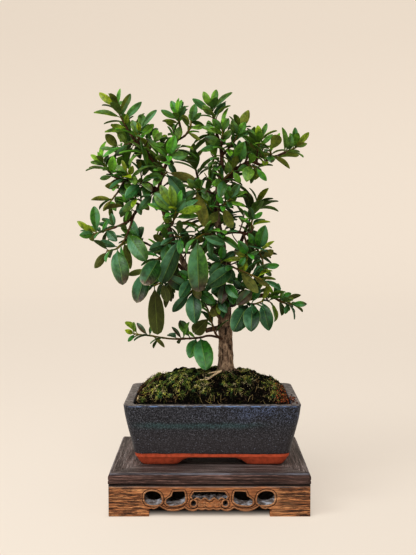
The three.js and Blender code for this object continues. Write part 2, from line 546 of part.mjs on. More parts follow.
// The soil: fills the pot, and its mound stands above the rim, uneven by a sum of waves
function moundTop(x, y) {
  const across = Math.abs(x - POT_X) / (POT_WIDTH / 2 - POT_LAND);
  const deep = Math.abs(y) / (POT_DEPTH / 2 - POT_LAND);
  const waves = 1.1 * Math.sin(x * 0.21 + 1.3 * Math.sin(y * 0.17)) + 0.9 * Math.sin(y * 0.33 + x * 0.08)
    + 0.6 * Math.sin(x * 0.47 - y * 0.39);
  const swell = Math.max(0, (0.16 + 0.84 * (1 - across ** 3.2)) * (1 - deep ** 2.6));
  return POT_RIM_TOP - 1.2 + MOUND_RISE * swell + waves * (0.25 + 0.75 * swell);
}
function soil() {
  const halfX = POT_WIDTH / 2 - POT_LAND - SOIL_GAP;
  const halfY = POT_DEPTH / 2 - POT_LAND - SOIL_GAP;
  const shrink = [1, 0.965, 0.9, 0.77, 0.6, 0.4, 0.2];
  const cornerSteps = 4;
  const ring = 4 * (cornerSteps + 1);
  const corners = [[1, 1], [-1, 1], [-1, -1], [1, -1]];
  const coords = [];
  const triangles = [];
  const addRing = (x, y, r, height) => corners.forEach(([sx, sy], c) => {
    for (let k = 0; k <= cornerSteps; k += 1) {
      const angle = (Math.PI / 2) * (c + k / cornerSteps);
      const px = POT_X + sx * (x - r) + r * Math.cos(angle);
      const py = sy * (y - r) + r * Math.sin(angle);
      coords.push(px, py, height(px, py));
    }
  });
  const inset = 17 - POT_LAND;
  const edgeTop = (x, y) => POT_RIM_TOP - 0.6 + 0.3 * (moundTop(x, y) - POT_RIM_TOP);
  addRing(halfX - inset, halfY - inset, 5, () => SOIL_BOTTOM);
  addRing(halfX - 0.2, halfY - 0.2, 5, () => POT_RIM_TOP - 1.5);
  addRing(halfX - 0.2, halfY - 0.2, 5, edgeTop);
  shrink.slice(1).forEach((f, i) => {
    const r = 5 + (halfY * f - 5) * Math.min(1, (i + 1) * 0.16);
    addRing(halfX * f, halfY * f, r, moundTop);
  });
  const rings = shrink.length + 2;
  coords.push(POT_X, 0, moundTop(POT_X, 0));
  for (let i = 0; i < rings - 1; i += 1) {
    for (let j = 0; j < ring; j += 1) {
      const a = i * ring + j;
      const b = i * ring + ((j + 1) % ring);
      triangles.push(a, b, b + ring, a, b + ring, a + ring);
    }
  }
  const last = (rings - 1) * ring;
  for (let j = 0; j < ring; j += 1) triangles.push(last + j, last + ((j + 1) % ring), rings * ring);
  for (let j = 1; j < ring - 1; j += 1) triangles.push(0, j + 1, j);
  return solidOf(geometryOf(coords, triangles));
}

// The nearest place on a run of points: { point, t, i } with t along segment i
function nearestOn(points, target) {
  let best = null;
  for (let i = 0; i < points.length - 1; i += 1) {
    const step = points[i + 1].clone().sub(points[i]);
    const t = clamp(target.clone().sub(points[i]).dot(step) / step.lengthSq(), 0, 1);
    const point = points[i].clone().addScaledVector(step, t);
    const distance = point.distanceTo(target);
    if (!best || distance < best.distance) best = { point, t, i, distance };
  }
  return best;
}
function seatOn(axes, target) {
  const seats = axes.map((bearer) => nearestOn(bearer.points, target));
  return seats.reduce((best, next) => (next.distance < best.distance ? next : best)).point;
}

// Axes of the trunk, the limbs and the roots. Each limb's first point is drawn onto what bears it.
function limbAxes() {
  const axes = [];
  [TRUNK, ...LIMBS, ...ROOTS].forEach((rows) => {
    const points = rows.map(([u, w, y]) => place(u, w, y));
    if (axes.length > 0) points[0] = seatOn(axes, points[0]);
    axes.push({ points, radii: rows.map((row) => row[3]) });
  });
  return axes;
}
const AXES = limbAxes();
const TRUNK_SIDES = 12;
const MAIN_LIMB_SIDES = 8;
const LIMB_SIDES = 5;

// Low ridges that run up the trunk, stronger where it flares into its roots
function barkSwell(angle, ring) {
  const flare = ring < 4 ? 0.12 : 0.05;
  return 1 + flare * Math.sin(3 * angle + 0.6 * ring) + 0.035 * Math.sin(5 * angle + 2.1 * ring);
}
function wood(extra) {
  return joined(AXES.map(({ points, radii }, i) => {
    const sides = [TRUNK_SIDES, MAIN_LIMB_SIDES][i] ?? LIMB_SIDES;
    const swell = i === 0 ? barkSwell : undefined;
    const beyond = (end, next) => end.clone().addScaledVector(end.clone().sub(next).normalize(), extra);
    const run = [beyond(...points), ...points.slice(1, -1), beyond(...points.slice(-2).reverse())];
    return solidOf(tube(run, radii.map((r) => r + extra), sides, swell));
  }));
}

// A leaf: its root, its tip, its upper normal and side, and its half width
const PETIOLE = 0.12;
const PETIOLE_HALF = 0.55;
const BOW = 0.07;
const FOLD = 0.22;
function makeLeaf(root, tip, normal, half, tone, spray) {
  const along = tip.clone().sub(root);
  const length = along.length();
  along.divideScalar(length);
  const up = normal.clone().addScaledVector(along, -normal.dot(along)).normalize();
  const side = along.clone().cross(up);
  return { root, tip, along, up, side, length, half, tone, spray };
}
// Half width along the leaf: an egg shape, widest past the middle, behind a thin stalk
function halfAt(leaf, t) {
  if (t <= PETIOLE) return PETIOLE_HALF;
  const q = (t - PETIOLE) / (1 - PETIOLE);
  return Math.max(PETIOLE_HALF * (1 - q), (leaf.half * q ** 0.75 * (1 - q) ** 0.5) / 0.434);
}
function leafPoint(leaf, t, across, lift) {
  const h = across * halfAt(leaf, t);
  return leaf.root.clone()
    .addScaledVector(leaf.along, t * leaf.length)
    .addScaledVector(leaf.side, h)
    .addScaledVector(leaf.up, 4 * BOW * leaf.length * t * (1 - t) + FOLD * Math.abs(h) + lift);
}
const LONG_STATIONS = [0.36, 0.66, 0.9];
const SHORT_STATIONS = [0.45, 0.82];
const STATION_LIMIT = 20;

// Is a point inside the thin space that a leaf takes up, beyond the share t0 of its length?
function inBlade(leaf, point, thick, pad, t0) {
  const d = point.clone().sub(leaf.root);
  const t = d.dot(leaf.along) / leaf.length;
  if (t < t0 || t > 1.04) return false;
  const s = Math.abs(d.dot(leaf.side));
  if (s > halfAt(leaf, Math.min(t, 1)) + pad) return false;
  const h = d.dot(leaf.up) - 4 * BOW * leaf.length * t * (1 - t) - FOLD * s;
  return Math.abs(h) < thick;
}
const SAMPLE_T = [0.14, 0.22, 0.3, 0.38, 0.46, 0.54, 0.62, 0.7, 0.78, 0.86, 0.94, 1];
function samplesOf(leaf) {
  return SAMPLE_T.flatMap((t) => [-0.9, 0, 0.9].map((a) => ({ t, point: leafPoint(leaf, t, a, 0) })));
}

// Points about every 2 mm along an axis, with the radius there
function beadsOf({ points, radii }, spray) {
  const beads = [];
  for (let i = 0; i < points.length - 1; i += 1) {
    const steps = Math.max(1, Math.ceil(points[i].distanceTo(points[i + 1]) / 2));
    for (let k = 0; k < steps; k += 1) {
      const point = points[i].clone().lerp(points[i + 1], k / steps);
      beads.push({ point, r: radii[i] + (radii[i + 1] - radii[i]) * (k / steps), spray });
    }
  }
  beads.push({ point: points[points.length - 1].clone(), r: radii[radii.length - 1], spray });
  return beads;
}

// Does a leaf keep clear of all wood and of every leaf placed before it? Leaves of one twig may
// stand closer, and meet at their roots. The shares of a leaf's length that may touch come first.
const NEAR = 60;
const OWN_TWIG = { wood: 0.22, leaf: 0.25, apart: 1.3 };
const OTHER_TWIG = { wood: 0.04, leaf: 0.06, apart: 1.8 };
const BESIDE = 0.8;
function isClear(leaf, placed, beads) {
  const ruleFor = ({ spray }) => (spray === leaf.spray ? OWN_TWIG : OTHER_TWIG);
  const hitsWood = beads.some((bead) => bead.point.distanceTo(leaf.root) < NEAR
    && inBlade(leaf, bead.point, bead.r + BLADE_THICK, bead.r + BESIDE, ruleFor(bead).wood));
  if (hitsWood) return false;
  const samples = samplesOf(leaf);
  return !placed.some((other) => {
    if (other.root.distanceTo(leaf.root) > NEAR) return false;
    const rule = ruleFor(other);
    const meets = (points, blade) => points.some(({ t, point }) => t > rule.leaf
      && inBlade(blade, point, rule.apart, BESIDE, OTHER_TWIG.leaf));
    return meets(samples, other) || meets(other.samples, leaf);
  });
}

// Twig radii, from its root to its tip
const TWIG_ROOT = 1.15;
const TWIG_TIP = 0.8;
function twigAxis(rows) {
  const points = rows.map(([u, w, y]) => place(u, w, y));
  points[0] = seatOn(AXES, points[0]);
  const radii = points.map((_, i) => TWIG_ROOT + ((TWIG_TIP - TWIG_ROOT) * i) / (points.length - 1));
  const runs = [0];
  for (let i = 1; i < points.length; i += 1) runs.push(runs[i - 1] + points[i].distanceTo(points[i - 1]));
  return { points, radii, runs };
}

// Where an axis is after a run of s mm: its point, its heading, its radius
function axisAt({ points, radii, runs }, s) {
  let i = 0;
  while (i < runs.length - 2 && runs[i + 1] < s) i += 1;
  const t = (s - runs[i]) / (runs[i + 1] - runs[i]);
  const headings = [i, i + 1].map((k) => points[Math.min(k + 1, points.length - 1)].clone()
    .sub(points[Math.max(k - 1, 0)]).normalize());
  return {
    point: points[i].clone().lerp(points[i + 1], t),
    heading: headings[0].lerp(headings[1], clamp(t, 0, 1)).normalize(),
    r: radii[i] + (radii[i + 1] - radii[i]) * t,
  };
}

// How far outside the trunk and limbs a point is, their ends taken as flat
function clearOfLimbs(point) {
  return Math.min(...AXES.map(({ points, radii }) => {
    const seat = nearestOn(points, point);
    const r = radii[seat.i] + (radii[seat.i + 1] - radii[seat.i]) * seat.t;
    const last = seat.i === points.length - 2 && seat.t === 1;
    if (!last) return seat.distance - r;
    const end = points[points.length - 1];
    const heading = end.clone().sub(points[points.length - 2]).normalize();
    const beyond = point.clone().sub(end).dot(heading);
    const beside = Math.sqrt(Math.max(0, seat.distance ** 2 - beyond ** 2)) - r;
    return Math.hypot(Math.max(0, beyond), Math.max(0, beside));
  }));
}

// A leaf that the drawing shows. What its seen length lacks for its width is its reach in depth,
// and its seen width gives its roll. Its tip moves along the line of sight until it is clear.
const TIP_SHIFTS = [0, 4, -4, 8, -8, 12, -12, 16, -16, 22, -22];
const SIZES = [1, 0.82, 0.66];
function drawnLeaf(row, index, rows, axis, spray, placed, beads) {
  const [tipU, tipW, rootU, rootW, width, tone] = row;
  const flat = rows.map(([u, w]) => new THREE.Vector3(u, w, 0));
  const seat = nearestOn(flat, new THREE.Vector3(rootU, rootW, 0));
  const root = axis.points[seat.i].clone().lerp(axis.points[seat.i + 1], seat.t);
  for (const size of SIZES) {
    for (const shift of TIP_SHIFTS) {
      const u = rootU + (tipU - rootU) * size;
      const w = rootW + (tipW - rootW) * size;
      const seen = Math.max(2.2, width * size * DRAWING_UNIT);
      const chord = place(u, w, root.y).distanceTo(root);
      const length = Math.max(chord, 2.3 * seen);
      const reach = Math.min(Math.sqrt(length ** 2 - chord ** 2), 0.75 * length);
      const tip = place(u, w, root.y - reach - (draw(index) - 0.5) * 0.3 * length + shift);
      const along = tip.clone().sub(root).normalize();
      const towards = EYE.clone().sub(root).normalize();
      towards.addScaledVector(along, -towards.dot(along)).normalize();
      const sideways = along.clone().cross(towards);
      const full = Math.max(seen, 0.27 * tip.distanceTo(root));
      const roll = Math.acos(clamp(seen / full, 0, 1));
      const lean = sideways.z >= 0 ? 1 : -1;
      const normal = towards.multiplyScalar((tone === O ? -1 : 1) * Math.cos(roll))
        .addScaledVector(sideways, lean * Math.sin(roll));
      const leaf = makeLeaf(root, tip, normal, full / 2, tone, spray);
      leaf.run = axis.runs[seat.i] + seat.t * (axis.runs[seat.i + 1] - axis.runs[seat.i]);
      if (isClear(leaf, placed, beads)) return leaf;
    }
  }
  return null;
}

// A leaf by rule: set round the twig by the golden angle, its upper side to the twig's tip and sky
const GOLDEN = 2.39996;
function ruledLeaf(index, count, axis, spray, far, seed, placed, beads) {
  const t = Math.min(1, 0.3 + (0.7 * (index + 0.7)) / count);
  const run = t * axis.runs[axis.runs.length - 1];
  const { point: root, heading: along } = axisAt(axis, run);
  const first = new THREE.Vector3(0.2, 0.1, 1);
  first.addScaledVector(along, -first.dot(along)).normalize();
  const second = along.clone().cross(first);
  const young = t > 0.85 && draw(seed + 7) > 0.35;
  const tone = young ? Y : [G, B, G, L, B][Math.floor(5 * draw(seed + 3))];
  for (const size of [1, 0.75]) {
    for (let turn = 0; turn < 9; turn += 1) {
      const angle = seed + index * GOLDEN + turn * 0.7;
      const tilt = 1.15 - 0.5 * t + 0.35 * draw(seed + 5);
      const radial = first.clone().multiplyScalar(Math.cos(angle)).addScaledVector(second, Math.sin(angle));
      const heading = along.clone().multiplyScalar(Math.cos(tilt)).addScaledVector(radial, Math.sin(tilt));
      if (far) heading.y = Math.abs(heading.y) + 0.7;
      heading.normalize();
      const length = size * (far ? 15 + 9 * draw(seed) : 19 + 15 * draw(seed) * (1.2 - t));
      const tip = root.clone().addScaledVector(heading, length);
      const normal = along.clone().multiplyScalar(0.5).add(new THREE.Vector3(0, 0.15, 0.9));
      const half = (length * (0.3 + 0.08 * draw(seed + 9))) / 2;
      const leaf = makeLeaf(root, tip, normal, half, tone, spray);
      leaf.run = run;
      if (isClear(leaf, placed, beads)) return leaf;
    }
  }
  return null;
}

// Every spray of the tree with its twig's axis and its leaves, the drawn ones placed first
function growSprays() {
  const sprays = [
    ...SPRAYS.map(({ name, twig, leaves, far }) => ({ name, rows: twig, drawn: leaves, far })),
    ...FAR_SPRAYS.map(([name, root, tip, ruled]) => ({
      name,
      rows: [root, root.map((v, i) => (v + tip[i]) / 2 + (i === 1 ? 2 : 0)), tip],
      drawn: [],
      ruled,
    })),
  ];
  const beads = AXES.flatMap((axis) => beadsOf(axis, -1));
  sprays.forEach((spray, s) => {
    spray.axis = twigAxis(spray.rows);
    spray.leaves = [];
    beads.push(...beadsOf(spray.axis, s));
  });
  const placed = [];
  const keep = (spray, leaf) => {
    if (!leaf) return;
    leaf.samples = samplesOf(leaf);
    placed.push(leaf);
    spray.leaves.push(leaf);
  };
  sprays.forEach((spray, s) => spray.drawn.forEach((row, i) => keep(
    spray, drawnLeaf(row, s * 40 + i, spray.rows, spray.axis, s, placed, beads))));
  sprays.forEach((spray, s) => {
    const count = spray.ruled ?? spray.far;
    for (let i = 0; i < count; i += 1) {
      const seed = s * 17.3 + i * 3.1;
      keep(spray, ruledLeaf(i, count, spray.axis, s, !spray.ruled, seed, placed, beads));
    }
  });
  return sprays;
}

// A twig and its leaves as one closed skin. The twig is a tube with rings at the ends of short
// sockets. A leaf grows out of one face of its socket: that face is left out, and its four
// corners are joined to the four corners of the blade's first section. Leaves that point forward
// have their sockets further along, by up to FAN mm, so that crowded ones fan out uncrossed.
const TWIG_SIDES = 5;
const SOCKET = 1.3;
const FAN = 3;
function socketsOf(axis, leaves, start) {
  const end = axis.runs[axis.runs.length - 1];
  const sockets = [];
  const fanned = leaves.map((leaf) => {
    const { heading } = axisAt(axis, leaf.run);
    const forward = leaf.along.dot(heading);
    const outward = leaf.along.clone().addScaledVector(heading, -forward).normalize();
    return { leaf, outward, rank: leaf.run + FAN * forward };
  });
  fanned.sort((p, q) => q.rank - p.rank).forEach(({ leaf, outward }) => {
    const last = sockets[sockets.length - 1];
    const apart = last && last.every((other) => other.outward.dot(outward) < 0.1);
    if (last && apart && last.length < 2 && Math.abs(leaf.run - last.middle) < 1.5 * SOCKET) {
      last.push({ leaf, outward });
      return;
    }
    const top = Math.min(leaf.run + SOCKET / 2, last ? last.from : end);
    if (top - SOCKET < start + 0.4) return;
    const socket = [{ leaf, outward }];
    socket.from = top - SOCKET;
    socket.to = top;
    socket.middle = top - SOCKET / 2;
    sockets.push(socket);
  });
  return sockets.reverse();
}

// Where the twig's first ring stands, clear of the limb that bears it
function twigStart(axis) {
  const step = 0.1;
  const longest = 8;
  const isFree = (s) => {
    const { point, heading, r } = axisAt(axis, s);
    const across = new THREE.Vector3(0.3, 1, 0.2).cross(heading).normalize();
    const other = heading.clone().cross(across);
    return [0, 1, 2, 3, 4, 5, 6, 7].every((eighth) => {
      const angle = (eighth * Math.PI) / 4;
      const corner = point.clone().addScaledVector(across, r * Math.cos(angle))
        .addScaledVector(other, r * Math.sin(angle));
      return clearOfLimbs(corner) >= GAP + 0.1;
    });
  };
  let start = 0;
  while (start < longest && !isFree(start)) start += step;
  return start;
}

function spraySkin(axis, leaves, start) {
  const end = axis.runs[axis.runs.length - 1];
  const sockets = socketsOf(axis, leaves, start);
  const bends = axis.runs.filter((s) => s > start + 1 && s < end - 1
    && sockets.every(({ from, to }) => s < from - 0.5 || s > to + 0.5));
  const stops = [start, end, ...bends, ...sockets.flatMap(({ from, to }) => [from, to])];
  const rings = stops.sort((p, q) => p - q).filter((s, i, all) => i === 0 || s - all[i - 1] > 1e-3);
  const coords = [];
  const triangles = [];
  const frames = [];
  rings.forEach((s, i) => {
    const { point, heading, r } = axisAt(axis, s);
    const before = i > 0 ? frames[i - 1].across : new THREE.Vector3(0.3, 1, 0.2);
    const across = before.clone().addScaledVector(heading, -before.dot(heading)).normalize();
    const other = heading.clone().cross(across);
    frames.push({ across, other });
    for (let j = 0; j < TWIG_SIDES; j += 1) {
      const angle = (2 * Math.PI * j) / TWIG_SIDES;
      coords.push(...point.clone().addScaledVector(across, r * Math.cos(angle))
        .addScaledVector(other, r * Math.sin(angle)).toArray());
    }
  });
  const corner = (k) => new THREE.Vector3().fromArray(coords, 3 * k);
  const owners = [];
  const addLeaf = (leaf, mouth) => {
    const base = coords.length / 3;
    const stations = leaf.length > STATION_LIMIT ? LONG_STATIONS : SHORT_STATIONS;
    stations.forEach((t) => [[1, 0], [0, -1], [-1, 0], [0, 1]].forEach(([across, lift]) => {
      coords.push(...leafPoint(leaf, t, across, (lift * BLADE_THICK) / 2).toArray());
    }));
    coords.push(...leaf.tip.toArray());
    const middle = mouth.reduce((sum, k) => sum.add(corner(k)), new THREE.Vector3()).divideScalar(4);
    const blade = leafPoint(leaf, stations[0], 0, 0);
    const twist = (turn) => mouth.reduce((sum, k, m) => {
      const out = corner(k).sub(middle).normalize();
      return sum + out.dot(corner(base + ((m + turn) % 4)).sub(blade).normalize());
    }, 0);
    const turn = [0, 1, 2, 3].reduce((best, next) => (twist(next) > twist(best) ? next : best));
    for (let m = 0; m < 4; m += 1) {
      const a = mouth[m];
      const b = mouth[(m + 1) % 4];
      const c = base + ((m + 1 + turn) % 4);
      const d = base + ((m + turn) % 4);
      if ((m + turn) % 2 === 0) triangles.push(a, b, c, a, c, d);
      else triangles.push(a, b, d, b, c, d);
    }
    for (let i = 0; i < stations.length - 1; i += 1) {
      for (let k = 0; k < 4; k += 1) {
        const a = base + i * 4 + k;
        const b = base + i * 4 + ((k + 1) % 4);
        if (k % 2 === 0) triangles.push(a, b, b + 4, a, b + 4, a + 4);
        else triangles.push(a, b, a + 4, b, b + 4, a + 4);
      }
    }
    const last = base + (stations.length - 1) * 4;
    for (let k = 0; k < 4; k += 1) triangles.push(last + k, last + ((k + 1) % 4), last + 4);
  };
  for (let i = 0; i < rings.length - 1; i += 1) {
    const socket = sockets.find(({ from }) => Math.abs(from - rings[i]) < 1e-3);
    const faces = new Map((socket ?? []).map(({ leaf, outward }) => {
      const angle = Math.atan2(outward.dot(frames[i].other), outward.dot(frames[i].across));
      const face = Math.floor(((angle + 2 * Math.PI) / (2 * Math.PI)) * TWIG_SIDES) % TWIG_SIDES;
      return [face, leaf];
    }));
    for (let j = 0; j < TWIG_SIDES; j += 1) {
      const a = i * TWIG_SIDES + j;
      const b = i * TWIG_SIDES + ((j + 1) % TWIG_SIDES);
      const face = [a, b, b + TWIG_SIDES, a + TWIG_SIDES];
      const grown = faces.get(j);
      if (grown) {
        const root = axisAt(axis, socket.middle).point;
        addLeaf(makeLeaf(root, grown.tip, grown.up, grown.half, grown.tone, grown.spray), face);
      } else triangles.push(a, b, b + TWIG_SIDES, a, b + TWIG_SIDES, a + TWIG_SIDES);
      while (owners.length < triangles.length / 3) owners.push(grown);
    }
  }
  const top = (rings.length - 1) * TWIG_SIDES;
  for (let j = 1; j < TWIG_SIDES - 1; j += 1) {
    triangles.push(0, j + 1, j);
    triangles.push(top, top + j, top + j + 1);
  }
  return { geometry: geometryOf(coords, triangles), owners };
}

// The leaf to leave out where a skin would run through itself is the one that was placed later
function pierces(p, q, [a, b, c]) {
  const reach = p.distanceTo(q);
  const heading = q.clone().sub(p).divideScalar(reach);
  const hit = new THREE.Ray(p, heading).intersectTriangle(a, b, c, false, new THREE.Vector3());
  return hit !== null && hit.distanceTo(p) < reach;
}
function leafInTheWay({ geometry, owners }, leaves) {
  const { array: ids } = geometry.index;
  const at = (k) => new THREE.Vector3().fromBufferAttribute(geometry.attributes.position, k);
  const faces = [];
  for (let i = 0; i < ids.length; i += 3) {
    const corners = [...ids.slice(i, i + 3)];
    const points = corners.map(at);
    faces.push({ corners, points, box: new THREE.Box3().setFromPoints(points), owner: owners[i / 3] });
  }
  for (let i = 0; i < faces.length; i += 1) {
    for (let j = i + 1; j < faces.length; j += 1) {
      const [f, g] = [faces[i], faces[j]];
      const apart = !f.box.intersectsBox(g.box) || f.corners.some((k) => g.corners.includes(k));
      const crosses = !apart && [0, 1, 2].some((k) => pierces(f.points[k], f.points[(k + 1) % 3], g.points)
        || pierces(g.points[k], g.points[(k + 1) % 3], f.points));
      if (crosses) return leaves[Math.max(leaves.indexOf(f.owner), leaves.indexOf(g.owner))];
    }
  }
  return null;
}
function sprayGeometry(axis, leaves) {
  const start = twigStart(axis);
  let kept = leaves;
  let skin = spraySkin(axis, kept, start);
  let odd = leafInTheWay(skin, kept);
  while (odd) {
    kept = kept.filter((leaf) => leaf !== odd);
    skin = spraySkin(axis, kept, start);
    odd = leafInTheWay(skin, kept);
  }
  return skin.geometry;
}

// Materials by piece
const finish = (color, roughness) => new THREE.MeshStandardMaterial({ color, roughness, metalness: 0 });
const darkWood = finish(0x3d332e, 0.7);
const carvedWood = finish(0x7a5233, 0.65);
const glaze = finish(0x2a2c32, 0.35);
const earth = finish(0x2f3018, 0.95);
const bark = finish(0x5d4c40, 0.9);
const leafGreen = finish(0x2e6a2c, 0.45);

const bonsai = new THREE.Group();
const QUARTER = Math.PI / 2;
function addPiece(name, shape, material, turn = 0, x = 0, y = 0) {
  let geometry = shape;
  if (!shape.isBufferGeometry) {
    const mesh = shape.getMesh();
    geometry = geometryOf(mesh.vertProperties, Array.from(mesh.triVerts));
  }
  const piece = new THREE.Mesh(geometry, material);
  piece.name = name;
  piece.rotation.z = turn;
  piece.position.set(x, y, 0);
  bonsai.add(piece);
}

// The stand
addPiece('stand_top_front', rail(STAND_WIDTH, STAND_DEPTH), darkWood);
addPiece('stand_top_back', rail(STAND_WIDTH, STAND_DEPTH), darkWood, 2 * QUARTER);
addPiece('stand_top_left', rail(STAND_DEPTH, STAND_WIDTH), darkWood, -QUARTER);
addPiece('stand_top_right', rail(STAND_DEPTH, STAND_WIDTH), darkWood, QUARTER);
const panelInset = 2 * (RAIL_WIDTH + GAP);
const panel = new THREE.BoxGeometry(
  STAND_WIDTH - panelInset, STAND_DEPTH - panelInset, BOARD_TOP - BOARD_BOTTOM);
panel.translate(0, 0, (BOARD_TOP + BOARD_BOTTOM) / 2);
addPiece('stand_top_panel', panel, darkWood);

const longHoles = [slotHole(), ...[-1, 1].flatMap((side) => [
  ellipseHole(side * 49, 17.9, 7.3, 4.3, side * 0.12),
  cloudHole(side),
  ellipseHole(side * 13.8, 12, 2, 2, 0),
])];
const shortHoles = [slotHole(), ...[-1, 1].map((side) => ellipseHole(side * 26, 17, 7.3, 4.5, side * 0.12))];
const longApron = apron(STAND_WIDTH, FOOT_INNER_X, LONG_BOWS, 5.4, longHoles);
const shortApron = apron(STAND_DEPTH, FOOT_INNER_Y, SHORT_BOWS, 5.2, shortHoles);
addPiece('stand_apron_front', longApron, carvedWood, 0, 0, -STAND_DEPTH / 2);
addPiece('stand_apron_back', longApron, carvedWood, 2 * QUARTER, 0, STAND_DEPTH / 2);
addPiece('stand_apron_left', shortApron, carvedWood, -QUARTER, -STAND_WIDTH / 2, 0);
addPiece('stand_apron_right', shortApron, carvedWood, QUARTER, STAND_WIDTH / 2, 0);

// The pot, and the soil with the hole that the trunk's foot stands in
addPiece('pot', pot(), glaze);
const clearance = wood(GAP);
addPiece('soil', largestBody(soil().subtract(clearance)), earth);

// The tree
addPiece('trunk_and_limbs', wood(0), bark);
growSprays().forEach(({ name, axis, leaves }) => {
  addPiece(`spray_${name}`, sprayGeometry(axis, leaves), leafGreen);
});

// The origin is the middle of the whole outline's foot
bonsai.updateMatrixWorld(true);
const middle = new THREE.Box3().setFromObject(bonsai, true).getCenter(new THREE.Vector3());
bonsai.position.set(-middle.x, -middle.y, 0);
bonsai.updateMatrixWorld(true);

export default bonsai;
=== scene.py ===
"""Finish of a scarlet firethorn bonsai in a glazed pot, on a carved wooden stand.

Every new surface is worked out with numpy in millimetres, with x and y counted from the middle of
the stand and z from the floor. One function, `to_frame`, turns it into the frame's metres.
"""

import math

import bpy
import numpy as np
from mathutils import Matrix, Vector
from mathutils.geometry import tessellate_polygon


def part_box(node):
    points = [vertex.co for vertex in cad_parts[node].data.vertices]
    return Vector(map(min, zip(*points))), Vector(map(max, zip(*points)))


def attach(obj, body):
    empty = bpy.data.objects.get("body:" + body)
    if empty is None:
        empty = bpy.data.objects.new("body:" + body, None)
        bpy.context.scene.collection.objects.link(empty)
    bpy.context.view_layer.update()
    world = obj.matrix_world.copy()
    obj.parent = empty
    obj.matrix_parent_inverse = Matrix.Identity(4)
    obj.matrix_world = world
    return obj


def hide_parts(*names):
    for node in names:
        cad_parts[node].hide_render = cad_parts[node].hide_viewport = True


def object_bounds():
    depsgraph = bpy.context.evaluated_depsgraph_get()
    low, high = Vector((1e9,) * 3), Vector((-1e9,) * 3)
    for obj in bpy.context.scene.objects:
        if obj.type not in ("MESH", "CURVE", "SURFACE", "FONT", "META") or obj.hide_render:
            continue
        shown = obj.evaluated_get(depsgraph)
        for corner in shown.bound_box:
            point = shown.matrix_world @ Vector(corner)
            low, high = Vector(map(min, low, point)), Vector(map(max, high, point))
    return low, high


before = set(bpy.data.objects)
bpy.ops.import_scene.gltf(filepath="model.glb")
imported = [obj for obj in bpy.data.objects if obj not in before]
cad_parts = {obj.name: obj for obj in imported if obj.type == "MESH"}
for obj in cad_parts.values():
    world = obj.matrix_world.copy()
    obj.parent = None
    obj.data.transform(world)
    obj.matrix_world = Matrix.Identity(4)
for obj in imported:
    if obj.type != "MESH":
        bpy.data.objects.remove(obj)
CAD_BOX = [list(corner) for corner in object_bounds()]

bl_info = {
    "name": "Firethorn bonsai",
    "version": (1, 0, 0),
    "blender": (4, 5, 0),
    "location": "View3D > Sidebar > Bonsai",
    "description": "Leaves, bark, moss, glaze and carved wood of a potted bonsai, with its stage",
    "category": "Add Mesh",
}

MM = 0.001
PANEL_LOW, PANEL_HIGH = (np.array(corner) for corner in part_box("stand_top_panel"))
STAND_CENTRE = (PANEL_LOW[:2] + PANEL_HIGH[:2]) / 2


def to_frame(points):
    """Millimetres from the middle of the stand's foot, as metres in the frame."""
    placed = np.asarray(points, float) * MM
    placed[..., :2] += STAND_CENTRE
    return placed


def size_of(node):
    """Lowest and highest corner of a solid, in millimetres from the middle of the stand's foot."""
    low, high = (np.array(corner, float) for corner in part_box(node))
    low[:2] -= STAND_CENTRE
    high[:2] -= STAND_CENTRE
    return low / MM, high / MM


# Sizes in millimetres: first those that the solids' boxes give
BOARD_LOW, BOARD_HIGH = size_of("stand_top_front")
APRON_LOW, APRON_HIGH = size_of("stand_apron_front")
POT_LOW, POT_HIGH = size_of("pot")
STAND_HALF = np.array([size_of("stand_apron_right")[1][0], -APRON_LOW[1]])
APRON_THICK = APRON_HIGH[1] - APRON_LOW[1]
APRON_HEIGHT = APRON_HIGH[2]
RAIL_WIDTH = BOARD_HIGH[1] - BOARD_LOW[1]
POT_X = (POT_LOW[0] + POT_HIGH[0]) / 2
POT_HALF = (POT_HIGH - POT_LOW)[:2] / 2
POT_FOOT, POT_RIM = POT_LOW[2], POT_HIGH[2]
# then the width of the pot's rim, the height of the glaze's end and of the pot's floor, the arch
# between its feet, the soil's gap to the pot, and how far the mound rises over the rim
POT_LAND, GLAZE_BOTTOM, POT_FLOOR, FOOT_ARCH, SOIL_GAP, MOUND_RISE = 9, 49.6, 50, 6, 0.35, 22.6
BED_HALF = POT_HALF - POT_LAND
LOW_CORNER, HIGH_CORNER = (np.array(corner) / MM - [*STAND_CENTRE / MM, 0] for corner in CAD_BOX)


# Small tools on numbers and arrays


def smooth(value, low, high):
    """0 below low, 1 above high, and an even S between them."""
    t = np.clip((np.asarray(value, float) - low) / (high - low), 0, 1)
    return t * t * (3 - 2 * t)


def unit(vectors):
    """Vectors of length 1 along the last axis."""
    length = np.linalg.norm(vectors, axis=-1, keepdims=True)
    return vectors / np.maximum(length, 1e-12)


PRIMES = (73856093, 19349663, 83492791)


def lattice_noise(points, seed=0):
    """Value noise from -1 to 1: random values at whole coordinates, blended smoothly between them."""
    cell = np.floor(points).astype(np.int64)
    part = points - cell
    part = part * part * (3 - 2 * part)
    total = np.zeros(points.shape[:-1])
    for corner in np.ndindex(2, 2, 2):
        at = cell + np.array(corner)
        mixed = at[..., 0] * PRIMES[0] ^ at[..., 1] * PRIMES[1] ^ at[..., 2] * PRIMES[2] ^ seed * 2654435
        mixed = (mixed ^ (mixed >> 13)) * 1274126177
        value = ((mixed ^ (mixed >> 16)) & 0xFFFF) / 32767.5 - 1
        weight = np.prod(np.where(np.array(corner) == 1, part, 1 - part), axis=-1)
        total += weight * value
    return total


def rough(points, size, octaves=3, seed=0):
    """Sum of value noises, each half the size and half the height of the one before."""
    total = np.zeros(np.shape(points)[:-1])
    for k in range(octaves):
        total += lattice_noise(np.asarray(points) * (2**k / size), seed + 17 * k) / 2**k
    return total


